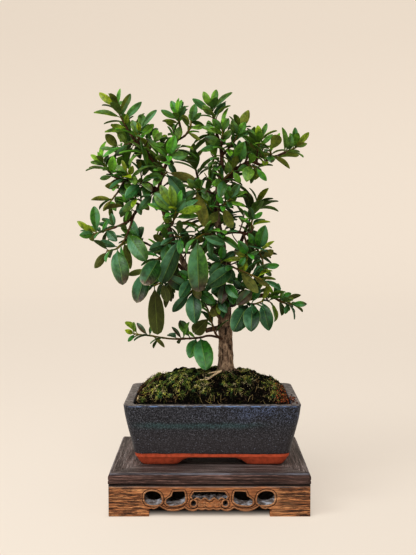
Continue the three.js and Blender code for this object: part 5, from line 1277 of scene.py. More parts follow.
# What a leaf must keep clear of on its own twig and on another: wood beyond this share of its
# length, leaves beyond this share, and how far apart the blades are
OWN_TWIG = (0.22, 0.25, 1.3)
OTHER_TWIG = (0.04, 0.06, 1.8)
SAMPLE_RUN = np.repeat([0.14, 0.22, 0.3, 0.38, 0.46, 0.54, 0.62, 0.7, 0.78, 0.86, 0.94, 1], 3)
SAMPLE_ACROSS = np.tile([-0.9, 0, 0.9], 12)


def draw(i):
    """An even draw from 0 to 1 for any number: the broken part of a large sine."""
    return (math.sin(i * 12.9898 + 4.1414) * 43758.5453) % 1.0


class Leaf:
    """One leaf's root and tip, its upper side, its half width, its tone, its shoot's number, and how
    far along the twig it grows."""

    def __init__(self, root, tip, normal, half, tone, spray, run):
        self.root, self.tip, self.half, self.tone, self.spray, self.run = root, tip, half, tone, spray, run
        self.length = float(np.linalg.norm(tip - root))
        self.along = (tip - root) / self.length
        self.up = unit(normal - self.along * (normal @ self.along))
        self.side = np.cross(self.along, self.up)

    def blade(self):
        """What tells the space it takes up: places and directions, and its length and half width."""
        return self.root, self.along, self.side, self.up, self.length, self.half

    def samples(self):
        """Points of the blade: an egg shape bowed along its length and folded up from its midrib."""
        t, h = SAMPLE_RUN, SAMPLE_ACROSS * half_at(self.half, SAMPLE_RUN)
        lift = 4 * BOW * self.length * t * (1 - t) + FOLD * np.abs(h)
        return (self.root + self.along * (t * self.length)[:, None] + self.side * h[:, None]
                + self.up * lift[:, None])


def half_at(half, t):
    """Half width along a leaf, widest past the middle, behind a thin stalk."""
    q = np.clip((t - PETIOLE) / (1 - PETIOLE), 0, 1)
    egg = np.maximum(PETIOLE_HALF * (1 - q), half * q**0.75 * (1 - q) ** 0.5 / 0.434)
    return np.where(t <= PETIOLE, PETIOLE_HALF, egg)


def in_blade(blade, points, thick, pad, share):
    """Which points are inside the thin space that a leaf takes up, beyond a share of its length."""
    root, along, side, up, length, half = blade
    d = points - root
    t = (d * along).sum(-1) / length
    s = np.abs((d * side).sum(-1))
    h = (d * up).sum(-1) - 4 * BOW * length * t * (1 - t) - FOLD * s
    return (t >= share) & (t <= 1.04) & (s <= half_at(half, np.minimum(t, 1)) + pad) & (np.abs(h) < thick)


class Crown:
    """All wood as beads 2 mm apart, and the leaves placed so far, to tell if a new leaf is clear."""

    def __init__(self, twigs):
        runs = [(points, radii, -1) for points, radii in AXES]
        runs += [(twig.points, twig.radii, s) for s, twig in enumerate(twigs)]
        beads = []
        for points, radii, spray in runs:
            rows = np.column_stack([points, radii])
            for a, b in zip(rows[:-1], rows[1:]):
                steps = max(1, math.ceil(np.linalg.norm((b - a)[:3]) / 2))
                beads.append(np.column_stack([a + (b - a) * (np.arange(steps) / steps)[:, None],
                                              np.full(steps, spray)]))
            beads.append(np.append(rows[-1], spray)[None])
        self.beads = np.vstack(beads)
        self.leaves = []
        self.samples = np.zeros((0, 36, 3))
        self.blades = np.zeros((0, 14))
        self.sprays = np.zeros(0, int)

    def keep(self, leaf):
        self.leaves.append(leaf)
        self.samples = np.concatenate([self.samples, leaf.samples()[None]])
        self.blades = np.concatenate([self.blades, np.hstack(leaf.blade())[None]])
        self.sprays = np.append(self.sprays, leaf.spray)

    def is_clear(self, leaf, closer=1.0):
        """A leaf is clear if no bead of wood and no other leaf's blade comes into its space, and it
        comes into no other's. Leaves of one twig may stand closer, and meet at their roots."""
        beads = self.beads[np.linalg.norm(self.beads[:, :3] - leaf.root, axis=1) < NEAR]
        share = np.where(beads[:, 4] == leaf.spray, OWN_TWIG[0], OTHER_TWIG[0])
        r = beads[:, 3]
        if in_blade(leaf.blade(), beads[:, :3], (r + BLADE_THICK) * closer, r + BESIDE, share).any():
            return False
        near = np.linalg.norm(self.blades[:, :3] - leaf.root, axis=1) <= NEAR
        if not near.any():
            return True
        own = (self.sprays[near] == leaf.spray)[:, None]
        apart = np.where(own, OWN_TWIG[2], OTHER_TWIG[2]) * closer
        beyond = np.where(own, OWN_TWIG[1], OTHER_TWIG[1]) < SAMPLE_RUN
        table = self.blades[near][:, None]
        others = [table[..., k : k + 3] for k in (0, 3, 6, 9)] + [table[..., 12], table[..., 13]]
        if (in_blade(others, leaf.samples(), apart, BESIDE, OTHER_TWIG[1]) & beyond).any():
            return False
        return not (in_blade(leaf.blade(), self.samples[near], apart, BESIDE, OTHER_TWIG[1]) & beyond).any()


TIP_SHIFTS = (0, 4, -4, 8, -8, 12, -12, 16, -16, 22, -22)
GOLDEN = 2.39996


def drawn_leaf(row, index, rows, twig, spray, crown):
    """A leaf that the drawing shows. What its seen length lacks for its width is its reach in
    depth, and its seen width gives its roll. Its tip moves along the line of sight until it is
    clear of the others."""
    tip_u, tip_w, root_u, root_w, width, tone = row
    flat = np.array([[u, w, 0.0] for u, w, _ in rows])
    _, t, i, _ = nearest_on(flat, np.array([root_u, root_w, 0.0]))
    root = twig.points[i] + (twig.points[i + 1] - twig.points[i]) * t
    run = twig.runs[i] + t * (twig.runs[i + 1] - twig.runs[i])
    for size in (1, 0.82, 0.66):
        for shift in TIP_SHIFTS:
            u, w = root_u + (tip_u - root_u) * size, root_w + (tip_w - root_w) * size
            seen = max(2.2, width * size * DRAWING_UNIT)
            chord = np.linalg.norm(place(u, w, root[1]) - root)
            length = max(chord, 2.3 * seen)
            reach = min(math.sqrt(length**2 - chord**2), 0.75 * length)
            tip = place(u, w, root[1] - reach - (draw(index) - 0.5) * 0.3 * length + shift)
            along = unit(tip - root)
            towards = unit(EYE - root)
            towards = unit(towards - along * (towards @ along))
            sideways = np.cross(along, towards)
            full = max(seen, 0.27 * np.linalg.norm(tip - root))
            roll = math.acos(min(1, seen / full))
            lean = 1 if sideways[2] >= 0 else -1
            shown = -1 if tone == UNDER else 1
            normal = towards * (shown * math.cos(roll)) + sideways * (lean * math.sin(roll))
            leaf = Leaf(root, tip, normal, full / 2, tone, spray, run)
            if crown.is_clear(leaf, 0.5):
                return leaf
    return None


def ruled_leaf(index, count, twig, spray, far, seed, crown, sizes=(1, 0.75), closer=1.0):
    """A leaf by rule: set round the twig by the golden angle, its upper side to the tip and the sky."""
    t = min(1, 0.3 + 0.7 * (index + 0.7) / count)
    run = t * twig.runs[-1]
    root, along = twig.at(run)
    first = np.array([0.2, 0.1, 1.0])
    first = unit(first - along * (first @ along))
    second = np.cross(along, first)
    young = t > 0.85 and draw(seed + 7) > 0.35
    tone = YOUNG if young else (GREEN, BLUE, GREEN, LIGHT, BLUE)[int(5 * draw(seed + 3))]
    for size in sizes:
        for turn in range(9):
            angle = seed + index * GOLDEN + turn * 0.7
            tilt = 1.15 - 0.5 * t + 0.35 * draw(seed + 5)
            radial = first * math.cos(angle) + second * math.sin(angle)
            heading = along * math.cos(tilt) + radial * math.sin(tilt)
            if far:
                heading[1] = abs(heading[1]) + 0.7
            heading = unit(heading)
            length = size * (15 + 9 * draw(seed) if far else 19 + 15 * draw(seed) * (1.2 - t))
            normal = along * 0.5 + [0, 0.15, 0.9]
            half = length * (0.29 + 0.08 * draw(seed + 9) + 0.02 * (closer < 1)) / 2
            leaf = Leaf(root, root + heading * length, normal, half, tone, spray, run)
            if crown.is_clear(leaf, closer):
                return leaf
    return None


# Where the crown stays open: ellipses on the drawing, [u, w, half width, half height]
OPEN_SKY = (
    (-61, 277, 15, 10), (59, 311, 20, 14), (-24, 330, 7, 6), (-54, 390, 8, 22), (-14, 390, 5, 12),
    (31, 392, 6, 14), (-112, 310, 8, 8), (27, 258, 9, 5), (-76, 216, 4, 9), (-26, 236, 5, 8),
    (-36, 190, 7, 12), (47, 283, 10, 6), (70, 263, 10, 14), (78, 226, 9, 10), (66, 384, 9, 14),
    (-64, 204, 5, 8), (-8, 326, 6, 6), (90, 330, 12, 8),
)


def fills_crown(leaf):
    """May a leaf that the drawing doesn't show stay? Not in the open places, nor out of the box."""
    points = np.concatenate([leaf.samples(), leaf.root[None]])
    depth = -EYE[1] / (points[:, 1] - EYE[1])
    u = (EYE[0] + (points[:, 0] - EYE[0]) * depth) / DRAWING_UNIT
    w = (EYE[2] + (points[:, 2] - EYE[2]) * depth) / DRAWING_UNIT
    for middle_u, middle_w, half_u, half_w in OPEN_SKY:
        if (((u - middle_u) / half_u) ** 2 + ((w - middle_w) / half_w) ** 2 < 1).any():
            return False
    return (points > LOW_CORNER + 1.5).all() and (points < HIGH_CORNER - 1.5).all()


STUB = 8
BARE_RUN = {0: 112.0, 1: 62.0}


def spur_twigs(spacing):
    """Short spurs on the trunk above its fork and on the limbs, each from its bearer's axis, turned
    round it by the golden angle and raised towards the sky: (number of the bearer, twig). The cut
    stub has none, and the foot of the trunk and of the main limb is bare for BARE_RUN."""
    spurs = []
    for number, (points, radii) in enumerate(AXES[: len(LIMBS) + 1]):
        if number == STUB:
            continue
        path, r = smooth_run(points, radii, 1.0)
        runs = lengths(path)
        low = BARE_RUN.get(number, 12.0)
        for k, run in enumerate(np.arange(low, runs[-1] - 4, spacing * (0.7 if number == 0 else 1))):
            i = int(np.searchsorted(runs, run))
            along = unit(path[min(i + 2, len(path) - 1)] - path[i - 2])
            first = unit(np.cross(along, [0.3, 1.0, 0.2]))
            angle = number * 1.7 + k * GOLDEN
            out = first * math.cos(angle) + np.cross(along, first) * math.sin(angle)
            heading = unit(out + 0.35 * along + [0, 0, 0.25])
            long = 7 + 9 * draw(number * 31 + k)
            seat, bend = path[i], np.array([0, 0, 0.18 * long])
            spur = [seat, seat + heading * (r[i] + long * 0.5), seat + heading * (r[i] + long) + bend]
            spurs.append((number, Twig(spur, np.array([0.75, 0.6, 0.45]))))
    return spurs


def grow_sprays(extra, spacing):
    """Every shoot with its twig and leaves: the drawn ones first, then those by rule, and then small
    ones that only fill the crown: extra ones a shoot, and four on each spur."""
    shoots = [(name, twig, leaves, far, None) for name, far, twig, leaves in SPRAYS]
    for name, root, tip, ruled in FAR_SPRAYS:
        middle = [(a + b) / 2 + 2 * (i == 1) for i, (a, b) in enumerate(zip(root, tip))]
        shoots.append((name, [root, middle, tip], [], 0, ruled))
    shoots += [(name, twig, leaves, far, None) for name, far, twig, leaves in INNER_SPRAYS]
    twigs = [Twig([place(*row) for row in rows]) for _, rows, _, _, _ in shoots]
    spurs = spur_twigs(spacing)
    crown = Crown(twigs)

    def keep(leaf, free=True):
        """Keeps a leaf that found its place. One that only fills the crown must leave it open."""
        if leaf is not None and (free or fills_crown(leaf)):
            crown.keep(leaf)

    for s, (_, rows, drawn, _, _) in enumerate(shoots):
        for i, row in enumerate(drawn):
            keep(drawn_leaf(row, s * 40 + i, rows, twigs[s], s, crown))
    for s, (_, _, _, far, ruled) in enumerate(shoots):
        count = ruled or far
        for i in range(count):
            keep(ruled_leaf(i, count, twigs[s], s, not ruled, s * 17.3 + i * 3.1, crown))
    for s in range(len(shoots)):
        for i in range(extra):
            seed = 900 + s * 11.7 + i * 5.3
            keep(ruled_leaf(i, extra, twigs[s], s, False, seed, crown, (0.85, 0.7, 0.5), 0.6), False)
    for k, (_, spur) in enumerate(spurs):
        for i in range(4):
            seed = 2000 + k * 7.3 + i * 4.1
            keep(ruled_leaf(i, 4, spur, len(shoots) + k, False, seed, crown, (0.9, 0.7, 0.5), 0.6), False)
    twigs += [spur for _, spur in spurs]
    names = [shoot[0] for shoot in shoots] + [f"inner_{number}" for number, _ in spurs]
    grown = {}
    for s, (name, twig) in enumerate(zip(names, twigs)):
        leaves = [leaf for leaf in crown.leaves if leaf.spray == s]
        if leaves or s < len(shoots):
            grown.setdefault(name, []).append((twig, leaves))
    return grown


# The skin of a leaf: six points round it at each station of its length, the last of them on its
# underside, with where each lies across the blade and the stalk, and how far it stands off

LEAF_RUN = np.array([0, 0.08, 0.14, 0.23, 0.36, 0.5, 0.64, 0.78, 0.89, 0.965])
LEAF_ACROSS = np.array([-1, -0.52, 0, 0.52, 1, 0])
STALK_ACROSS = np.array([-1, -0.6, 0, 0.6, 1, 0])
BLADE_LIFT = np.array([0, 0.5, 0.2, 0.5, 0, -0.7])
STALK_LIFT = np.array([0, 0.8, 1, 0.8, 0, -1])
STALK_HALF = 0.42

TONES = {
    YOUNG: (linear(138, 152, 30), linear(112, 142, 34)),
    LIGHT: (linear(108, 152, 50), linear(80, 132, 50)),
    GREEN: (linear(62, 128, 32), linear(42, 98, 28)),
    BLUE: (linear(38, 90, 46), linear(24, 62, 30)),
    UNDER: (linear(78, 92, 34), linear(96, 94, 48)),
    PURPLE: (linear(78, 66, 44), linear(72, 50, 44)),
    DRY: (linear(48, 104, 34), linear(34, 84, 36)),
}


def leaf_skins(leaves, thickness):
    """All leaves of a shoot as closed thin blades, computed at once.

    Across, a blade is a V folded up from its midrib, each half domed a little and its edge waved.
    Along, it is bowed and slightly twisted, and its half width is an egg shape with a blunt point:
    q to the power rise times (1 - q) to the power fall, q running from the stalk's end to the tip."""
    n = len(leaves)
    whole = {key: np.array([getattr(leaf, key) for leaf in leaves])
             for key in ("root", "tip", "along", "side", "up", "length", "half", "run")}
    root, along, side, up = (whole[key][:, None, None] for key in ("root", "along", "side", "up"))
    length, half = whole["length"][:, None, None], whole["half"][:, None, None]
    chance = np.array([[draw(leaf.tip[0] * 3.7 + leaf.root[2] * 1.3 + k) for k in range(6)]
                       for leaf in leaves])[:, :, None, None]
    t = LEAF_RUN[None, :, None]
    q = np.clip((t - PETIOLE) / (1 - PETIOLE), 0, 1)
    blade = smooth(t, 0.1, 0.2)
    blunt = smooth(length, 26, 42)
    rise = 0.84 - 0.28 * blunt + 0.1 * (chance[:, 5] - 0.5)
    fall = 0.74 - 0.3 * blunt + 0.08 * (chance[:, 2] - 0.5)
    widest = rise / (rise + fall)
    egg = q**rise * (1 - q) ** fall / (widest**rise * (1 - widest) ** fall)
    wide = np.where(t < PETIOLE, STALK_HALF, np.maximum(STALK_HALF * (1 - 0.4 * q), half * egg))
    a = LEAF_ACROSS * blade + STALK_ACROSS * (1 - blade)
    h = a * wide
    fold = (0.12 + 0.34 * chance[:, 0]) * (1 - 0.4 * blunt) * blade
    dome = (0.05 + 0.07 * chance[:, 1]) * blade * half * 4 * np.abs(a) * (1 - np.abs(a)) * 2
    wave = 0.07 * half * a**2 * np.sin(2 * math.pi * (1.7 * t + chance[:, 2])) * blade * (1 - q)
    thick = thickness * (1 - 0.45 * q)
    skin = BLADE_LIFT * thick * blade + STALK_LIFT * STALK_HALF * (1 - blade)
    above = np.array([1.0, 1, 1, 1, 1, 0])
    bow = 4 * (BOW + 0.07 * (chance[:, 3] - 0.3)) * length * t * (1 - t)
    lift = bow + fold * np.abs(h) + dome * above + wave + skin
    twist = (chance[:, 4] - 0.5) * 0.7 * (t - 0.5) * blade
    sideways = side * np.cos(twist)[..., None] + up * np.sin(twist)[..., None]
    upward = up * np.cos(twist)[..., None] - side * np.sin(twist)[..., None]
    points = root + along * (t * length)[..., None] + sideways * h[..., None] + upward * lift[..., None]
    points = np.concatenate([points.reshape(n, -1, 3), whole["tip"][:, None]], 1)
    rings, around = len(LEAF_RUN), len(LEAF_ACROSS)
    per = rings * around + 1
    quads = ring_faces(rings, around).reshape(rings - 1, around, 4)
    last = (rings - 1) * around + np.arange(around)
    tips = np.column_stack([last, np.roll(last, -1), np.full(around, per - 1)])
    start = per * np.arange(n)[:, None, None]
    faces = [quads[:, :4].reshape(-1, 4), tips[:4], quads[:, 4:].reshape(-1, 4), tips[4:],
             np.arange(around)[None, ::-1]]
    faces = [(f[None] + start).reshape(-1, f.shape[1]) for f in faces]
    u = np.append(np.repeat(LEAF_RUN, around), 1.0)
    v = np.append(np.tile(LEAF_ACROSS / 2 + 0.5, rings), 0.5)
    uv = np.tile(np.column_stack([u, v]), (n, 1))
    base = np.array([TONES[leaf.tone] for leaf in leaves])
    pick = chance[:, 5, 0]
    tone = base[:, 0] * (1 - pick) + base[:, 1] * pick
    large = smooth(whole["half"][:, None], 4.5, 7)
    tone[:, :3] *= 0.36 + (1.0 - 0.55 * large) * chance[:, 2, 0]
    # Grown leaves higher in the crown made brighter and yellower: painted light from above.
    grown = np.array([leaf.tone not in (YOUNG, LIGHT) for leaf in leaves])[:, None]
    sunny = grown * smooth(whole["root"][:, 2:], 190, 340)
    tone[:, :3] *= 1 + sunny * [0.9, 0.65, 0.4]
    blended(tone, linear(146, 168, 62), 0.5 * sunny * chance[:, 3, 0])
    tints = np.repeat(tone, per, 0)
    dry = np.array([leaf.tone in (PURPLE, DRY) for leaf in leaves])
    browned = np.repeat(dry | (chance[:, 1, 0, 0] > 0.94), per) * smooth(uv[:, 0], 0.58, 0.92)
    blended(tints, linear(70, 48, 46), 0.9 * browned[:, None])
    greyed = np.repeat(dry & (length[:, 0, 0] > 30), per) * smooth(uv[:, 0], 0.93, 1.0)
    blended(tints, linear(176, 168, 160), 0.7 * greyed[:, None])
    return points.reshape(-1, 3), faces, uv, tints


def shoot_skin(shoots, thickness):
    """Twigs, swollen where their leaves join them, with the leaves: points, faces, slots, uv, tints."""
    parts, uvs, colours = [], [], []
    old, fresh = np.array(linear(92, 66, 46)), np.array(linear(118, 108, 44))
    for twig, leaves in shoots:
        path, radii = smooth_run(twig.points, twig.radii * 0.95, 1.1)
        nodes = np.array([leaf.run for leaf in leaves] or [1e3])

        def swell(angles, run):
            near = np.abs(run[..., None] - nodes).min(-1)
            return 1 + 0.3 * np.exp(-(near / 0.9) ** 2) + 0.05 * np.sin(3 * angles + run)

        tip_share = np.linspace(0, 1, len(path))
        parts.append((*tube(path, radii * (1 - 0.25 * tip_share), 8, swell), 2))
        uvs.append(np.full((8 * len(path), 2), 0.5))
        colours.append(np.repeat(old + (fresh - old) * smooth(tip_share, 0.35, 1.0)[:, None], 8, 0))
    points, faces, uv, tones = leaf_skins([leaf for _, leaves in shoots for leaf in leaves], thickness)
    parts.append((points, faces, [0, 0, 1, 1, 1]))
    points, faces, slots = gather(parts)
    return points, faces, slots, np.vstack([*uvs, uv]), np.vstack([*colours, tones])


# The wood of the tree


def applied(piece):
    """Writes the piece's modifiers into its mesh."""
    graph = bpy.context.evaluated_depsgraph_get()
    graph.update()
    finished = bpy.data.meshes.new_from_object(piece.evaluated_get(graph))
    piece.modifiers.clear()
    piece.data = finished


def nearest_radius(points):
    """For each point, the radius of the wood whose skin is nearest to it."""
    best = np.full(len(points), 1e9)
    radius = np.zeros(len(points))
    for axis, radii in AXES:
        for a, b, ra, rb in zip(axis[:-1], axis[1:], radii[:-1], radii[1:]):
            t = np.clip((points - a) @ (b - a) / ((b - a) @ (b - a)), 0, 1)
            r = ra + (rb - ra) * t
            distance = np.linalg.norm(points - a - t[:, None] * (b - a), axis=1) - r
            closer = distance < best
            best[closer] = distance[closer]
            radius[closer] = r[closer]
    return radius


def bark_relief(points, normals, radius, depth):
    """Moves the skin along its normals: long ridges and plates on old wood, fine wrinkles on young."""
    old = smooth(radius, 1.5, 5.5)
    warped = points + 1.2 * np.stack([rough(points, 5, 2, seed=k) for k in (21, 22, 23)], -1)
    ridge = 1 - np.abs(rough(warped * [1, 1, 0.36], 2.3, 2, seed=31)) * 1.6
    plates = rough(warped * [1, 1, 0.6], 4.2, 3, seed=41)
    fine = rough(points, 0.9, 2, seed=51)
    push = old * (0.55 * ridge + 0.6 * plates) + (0.12 + 0.2 * old) * fine - 0.35 * old
    return points + normals * (push * depth)[:, None]


WOOD_SIDES = {0: 36, 1: 24}


def tree_wood(name, voxel, depth):
    """Trunk, limbs, roots and the cut stub as tubes joined into one skin, then given their bark."""
    parts = []
    for number, (points, radii) in enumerate(AXES):
        path, r = smooth_run(points, radii, 1.5)
        parts.append((*tube(path, np.maximum(r, 0.8), WOOD_SIDES.get(number, 16)), 0))
    points, faces, _ = gather(parts)
    wood = new_piece(name, points, faces, [])
    remesh = wood.modifiers.new("Join", "REMESH")
    remesh.mode = "VOXEL"
    remesh.voxel_size = voxel * MM
    remesh.use_smooth_shade = True
    ease = wood.modifiers.new("Ease", "SMOOTH")
    ease.factor = 0.5
    ease.iterations = 5
    applied(wood)
    mesh = wood.data
    normals = np.empty(3 * len(mesh.vertices), np.float32)
    mesh.vertex_normals.foreach_get("vector", normals)
    points = points_of(mesh)
    radius = nearest_radius(points)
    set_points(mesh, bark_relief(points, normals.reshape(-1, 3), radius, depth))
    share = 1 - smooth(radius, 1.7, 3.2)
    set_tints(mesh, np.column_stack([share, share, share, share * 0 + 1]))
    return wood


def inside(piece, node):
    """Draws points that stand out of the solid's box back to it."""
    set_points(piece.data, np.clip(points_of(piece.data), *size_of(node)))


# The sizes and colours that a user would change


def colour_of(label, where, *screen):
    """A colour that the user may change, given as on a screen."""
    return bpy.props.FloatVectorProperty(name=label, description=f"Colour of {where}", subtype="COLOR",
                                         size=4, min=0.0, max=1.0, default=linear(*screen))


def number_of(label, description, default, low, kind=bpy.props.FloatProperty):
    """A size or a count that the user may change, with its lowest value."""
    return kind(name=label, description=description, default=default, min=low)


class BonsaiSizes(bpy.types.PropertyGroup):
    """Sizes of the fine work in millimetres, and how many small things there are."""

    leaf_thickness: number_of("Leaf thickness", "Thickness of a blade at its midrib, in mm", 0.55, 0.1)
    small_leaves: number_of("Small leaves", "How many small leaves each shoot gets more", 5, 0,
                            bpy.props.IntProperty)
    spur_spacing: number_of("Spur spacing", "Distance between spurs along a limb, in mm", 7.0, 2.0)
    bark_depth: number_of("Bark depth", "Depth of the bark's ridges on the trunk, in mm", 0.9, 0.0)
    bark_voxel: number_of("Bark grain", "Size of the bark's smallest facets, in mm", 0.62, 0.3)
    moss_height: number_of("Moss height", "Length of the longest moss blades, in mm", 3.6, 0.5)
    moss_tufts: number_of("Moss tufts", "How many places are tried for a tuft of moss", 2300, 0,
                          bpy.props.IntProperty)
    straw: number_of("Straw", "How many places are tried for a dry strand", 560, 0, bpy.props.IntProperty)
    carved_line: number_of("Carved line", "Radius of the raised line round a hole, in mm", 0.6, 0.1)


class BonsaiColours(bpy.types.PropertyGroup):
    """Main colours of the finishes."""

    board: colour_of("Boards", "the stand's boards", 101, 84, 79)
    apron: colour_of("Aprons", "the carved aprons", 184, 123, 80)
    glaze: colour_of("Glaze", "the pot's glaze", 33, 34, 42)
    # rim is partly glaze thinned at the rim and partly a painted highlight.
    rim: colour_of("Rim", "the glaze where it thins at the rim", 112, 140, 184)
    # band is a painted reflection on the glaze.
    band: colour_of("Band", "the faint band on the glaze", 64, 96, 98)
    clay: colour_of("Clay", "the bare clay", 208, 104, 72)
    soil: colour_of("Soil", "the soil", 30, 24, 19)
    moss: colour_of("Moss", "the moss", 112, 114, 58)
    bark: colour_of("Bark", "old bark", 136, 114, 96)
    young_bark: colour_of("Young bark", "thin wood", 94, 62, 44)
    paper: colour_of("Paper", "the floor and the backdrop", 239, 228, 215)


# Operators

SIDES = ("front", "right", "back", "left")


def halves(turns):
    """Half the stand's width and depth, as seen from a side."""
    return STAND_HALF[::-1] if turns % 2 else STAND_HALF


class MakeBoards(bpy.types.Operator):
    """Adds the four mitred boards of the stand's top and finishes the panel between them"""

    bl_idname = "bonsai.make_boards"
    bl_label = "Stand boards"

    def execute(self, context):
        colours = context.scene.bonsai_colours
        pale = linear(162, 150, 146)
        along_x = board_wood("board_grain_across", colours.board, pale, True)
        along_y = board_wood("board_grain_deep", colours.board, pale, False)
        for turns, side in enumerate(SIDES):
            points, faces = board(*halves(turns), turns)
            piece = new_piece(f"board_{side}", points, faces, [along_y if turns % 2 else along_x])
            inside(piece, f"stand_top_{side}")
            dress(piece, "stand_top", f"stand_top_{side}")
        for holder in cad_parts["stand_top_panel"].material_slots:
            holder.material = along_x
        return {"FINISHED"}


class MakeAprons(bpy.types.Operator):
    """Adds the four carved aprons with their raised lines round the holes"""

    bl_idname = "bonsai.make_aprons"
    bl_label = "Carved aprons"

    def execute(self, context):
        sizes, colours = context.scene.bonsai_sizes, context.scene.bonsai_colours
        wood = carved_wood("carved_wood", colours.apron, linear(62, 38, 26), linear(216, 164, 116))
        line = carved_wood("carved_line_wood", linear(182, 132, 92), linear(120, 80, 54),
                           linear(214, 180, 148))
        # The slanting cuts: mottled wood with a painted bluish sheen.
        painted_sheen = cut_wood_sheen("cut_wood_painted_sheen", linear(58, 46, 40), linear(98, 90, 88),
                             linear(142, 144, 152))
        # The hole walls behind the cuts and the stand's inside faces in near-black wood: painted shade.
        inside_shade = carved_wood("inside_wood_painted_shade", linear(34, 24, 18), linear(14, 10, 8), linear(48, 34, 26))
        for turns, side in enumerate(SIDES):
            long = turns % 2 == 0
            edge = LONG_EDGE if long else SHORT_EDGE
            half, inner_half = halves(turns)
            points, faces, slots, fronts = apron(half, inner_half, edge, carved_holes(long), turns)
            piece = new_piece(f"apron_{side}", points, faces, [wood, painted_sheen, inside_shade], face_material=slots,
                              even=False)
            inside(piece, f"stand_apron_{side}")
            dress(piece, "stand_apron", f"stand_apron_{side}")
            # raised lines, and dark lines beside them that lie deeper, in the near-black inside wood:
            # painted shade of a groove beside each raised line
            depths = FRONT_SETBACK - inner_half + np.array([0.05, 0.26])
            parts = [(*bead(front, depths[0], sizes.carved_line, 0.75), 0) for front in fronts]
            parts += [(*bead(front, depths[1], 0.4, 2.0), 1) for front in fronts]
            left, middle, _ = scallops(*edge)
            bows = np.vstack([left, middle, left[::-1] * [-1, 1]])
            # a raised line above the scalloped edge, and above it a dark line of painted shade
            paths = [(bows + [0, 1.0], 0.55, 0), (bows + [0, 2.1], 0.4, 1)]
            paths += [(curl(hand * at, 10.6, size, -hand), 0.42, 0)
                      for hand in (-1, 1) for at, size in ((3.4, 2.7), (8.0, 2.0))]
            for flat, r, slot in paths:
                coords, (quads, _) = tube(upright(flat, depths[slot]), np.full(len(flat), r), 6)
                parts.append((coords, [quads], slot))
            points, faces, slots = gather(parts)
            carved = new_piece(f"carved_lines_{side}", turned(points, turns), faces, [line, inside_shade],
                               face_material=slots)
            dress(carved, "stand_apron")
        return {"FINISHED"}


class MakePot(bpy.types.Operator):
    """Adds the glazed pot on its four clay feet"""

    bl_idname = "bonsai.make_pot"
    bl_label = "Glazed pot"

    def execute(self, context):
        colours = context.scene.bonsai_colours
        points, faces = pot_surface()
        glaze = pot_glaze(colours.glaze, colours.clay, colours.band, colours.rim)
        piece = new_piece("glazed_pot", points, faces, [glaze])
        inside(piece, "pot")
        dress(piece, "pot", "pot")
        return {"FINISHED"}


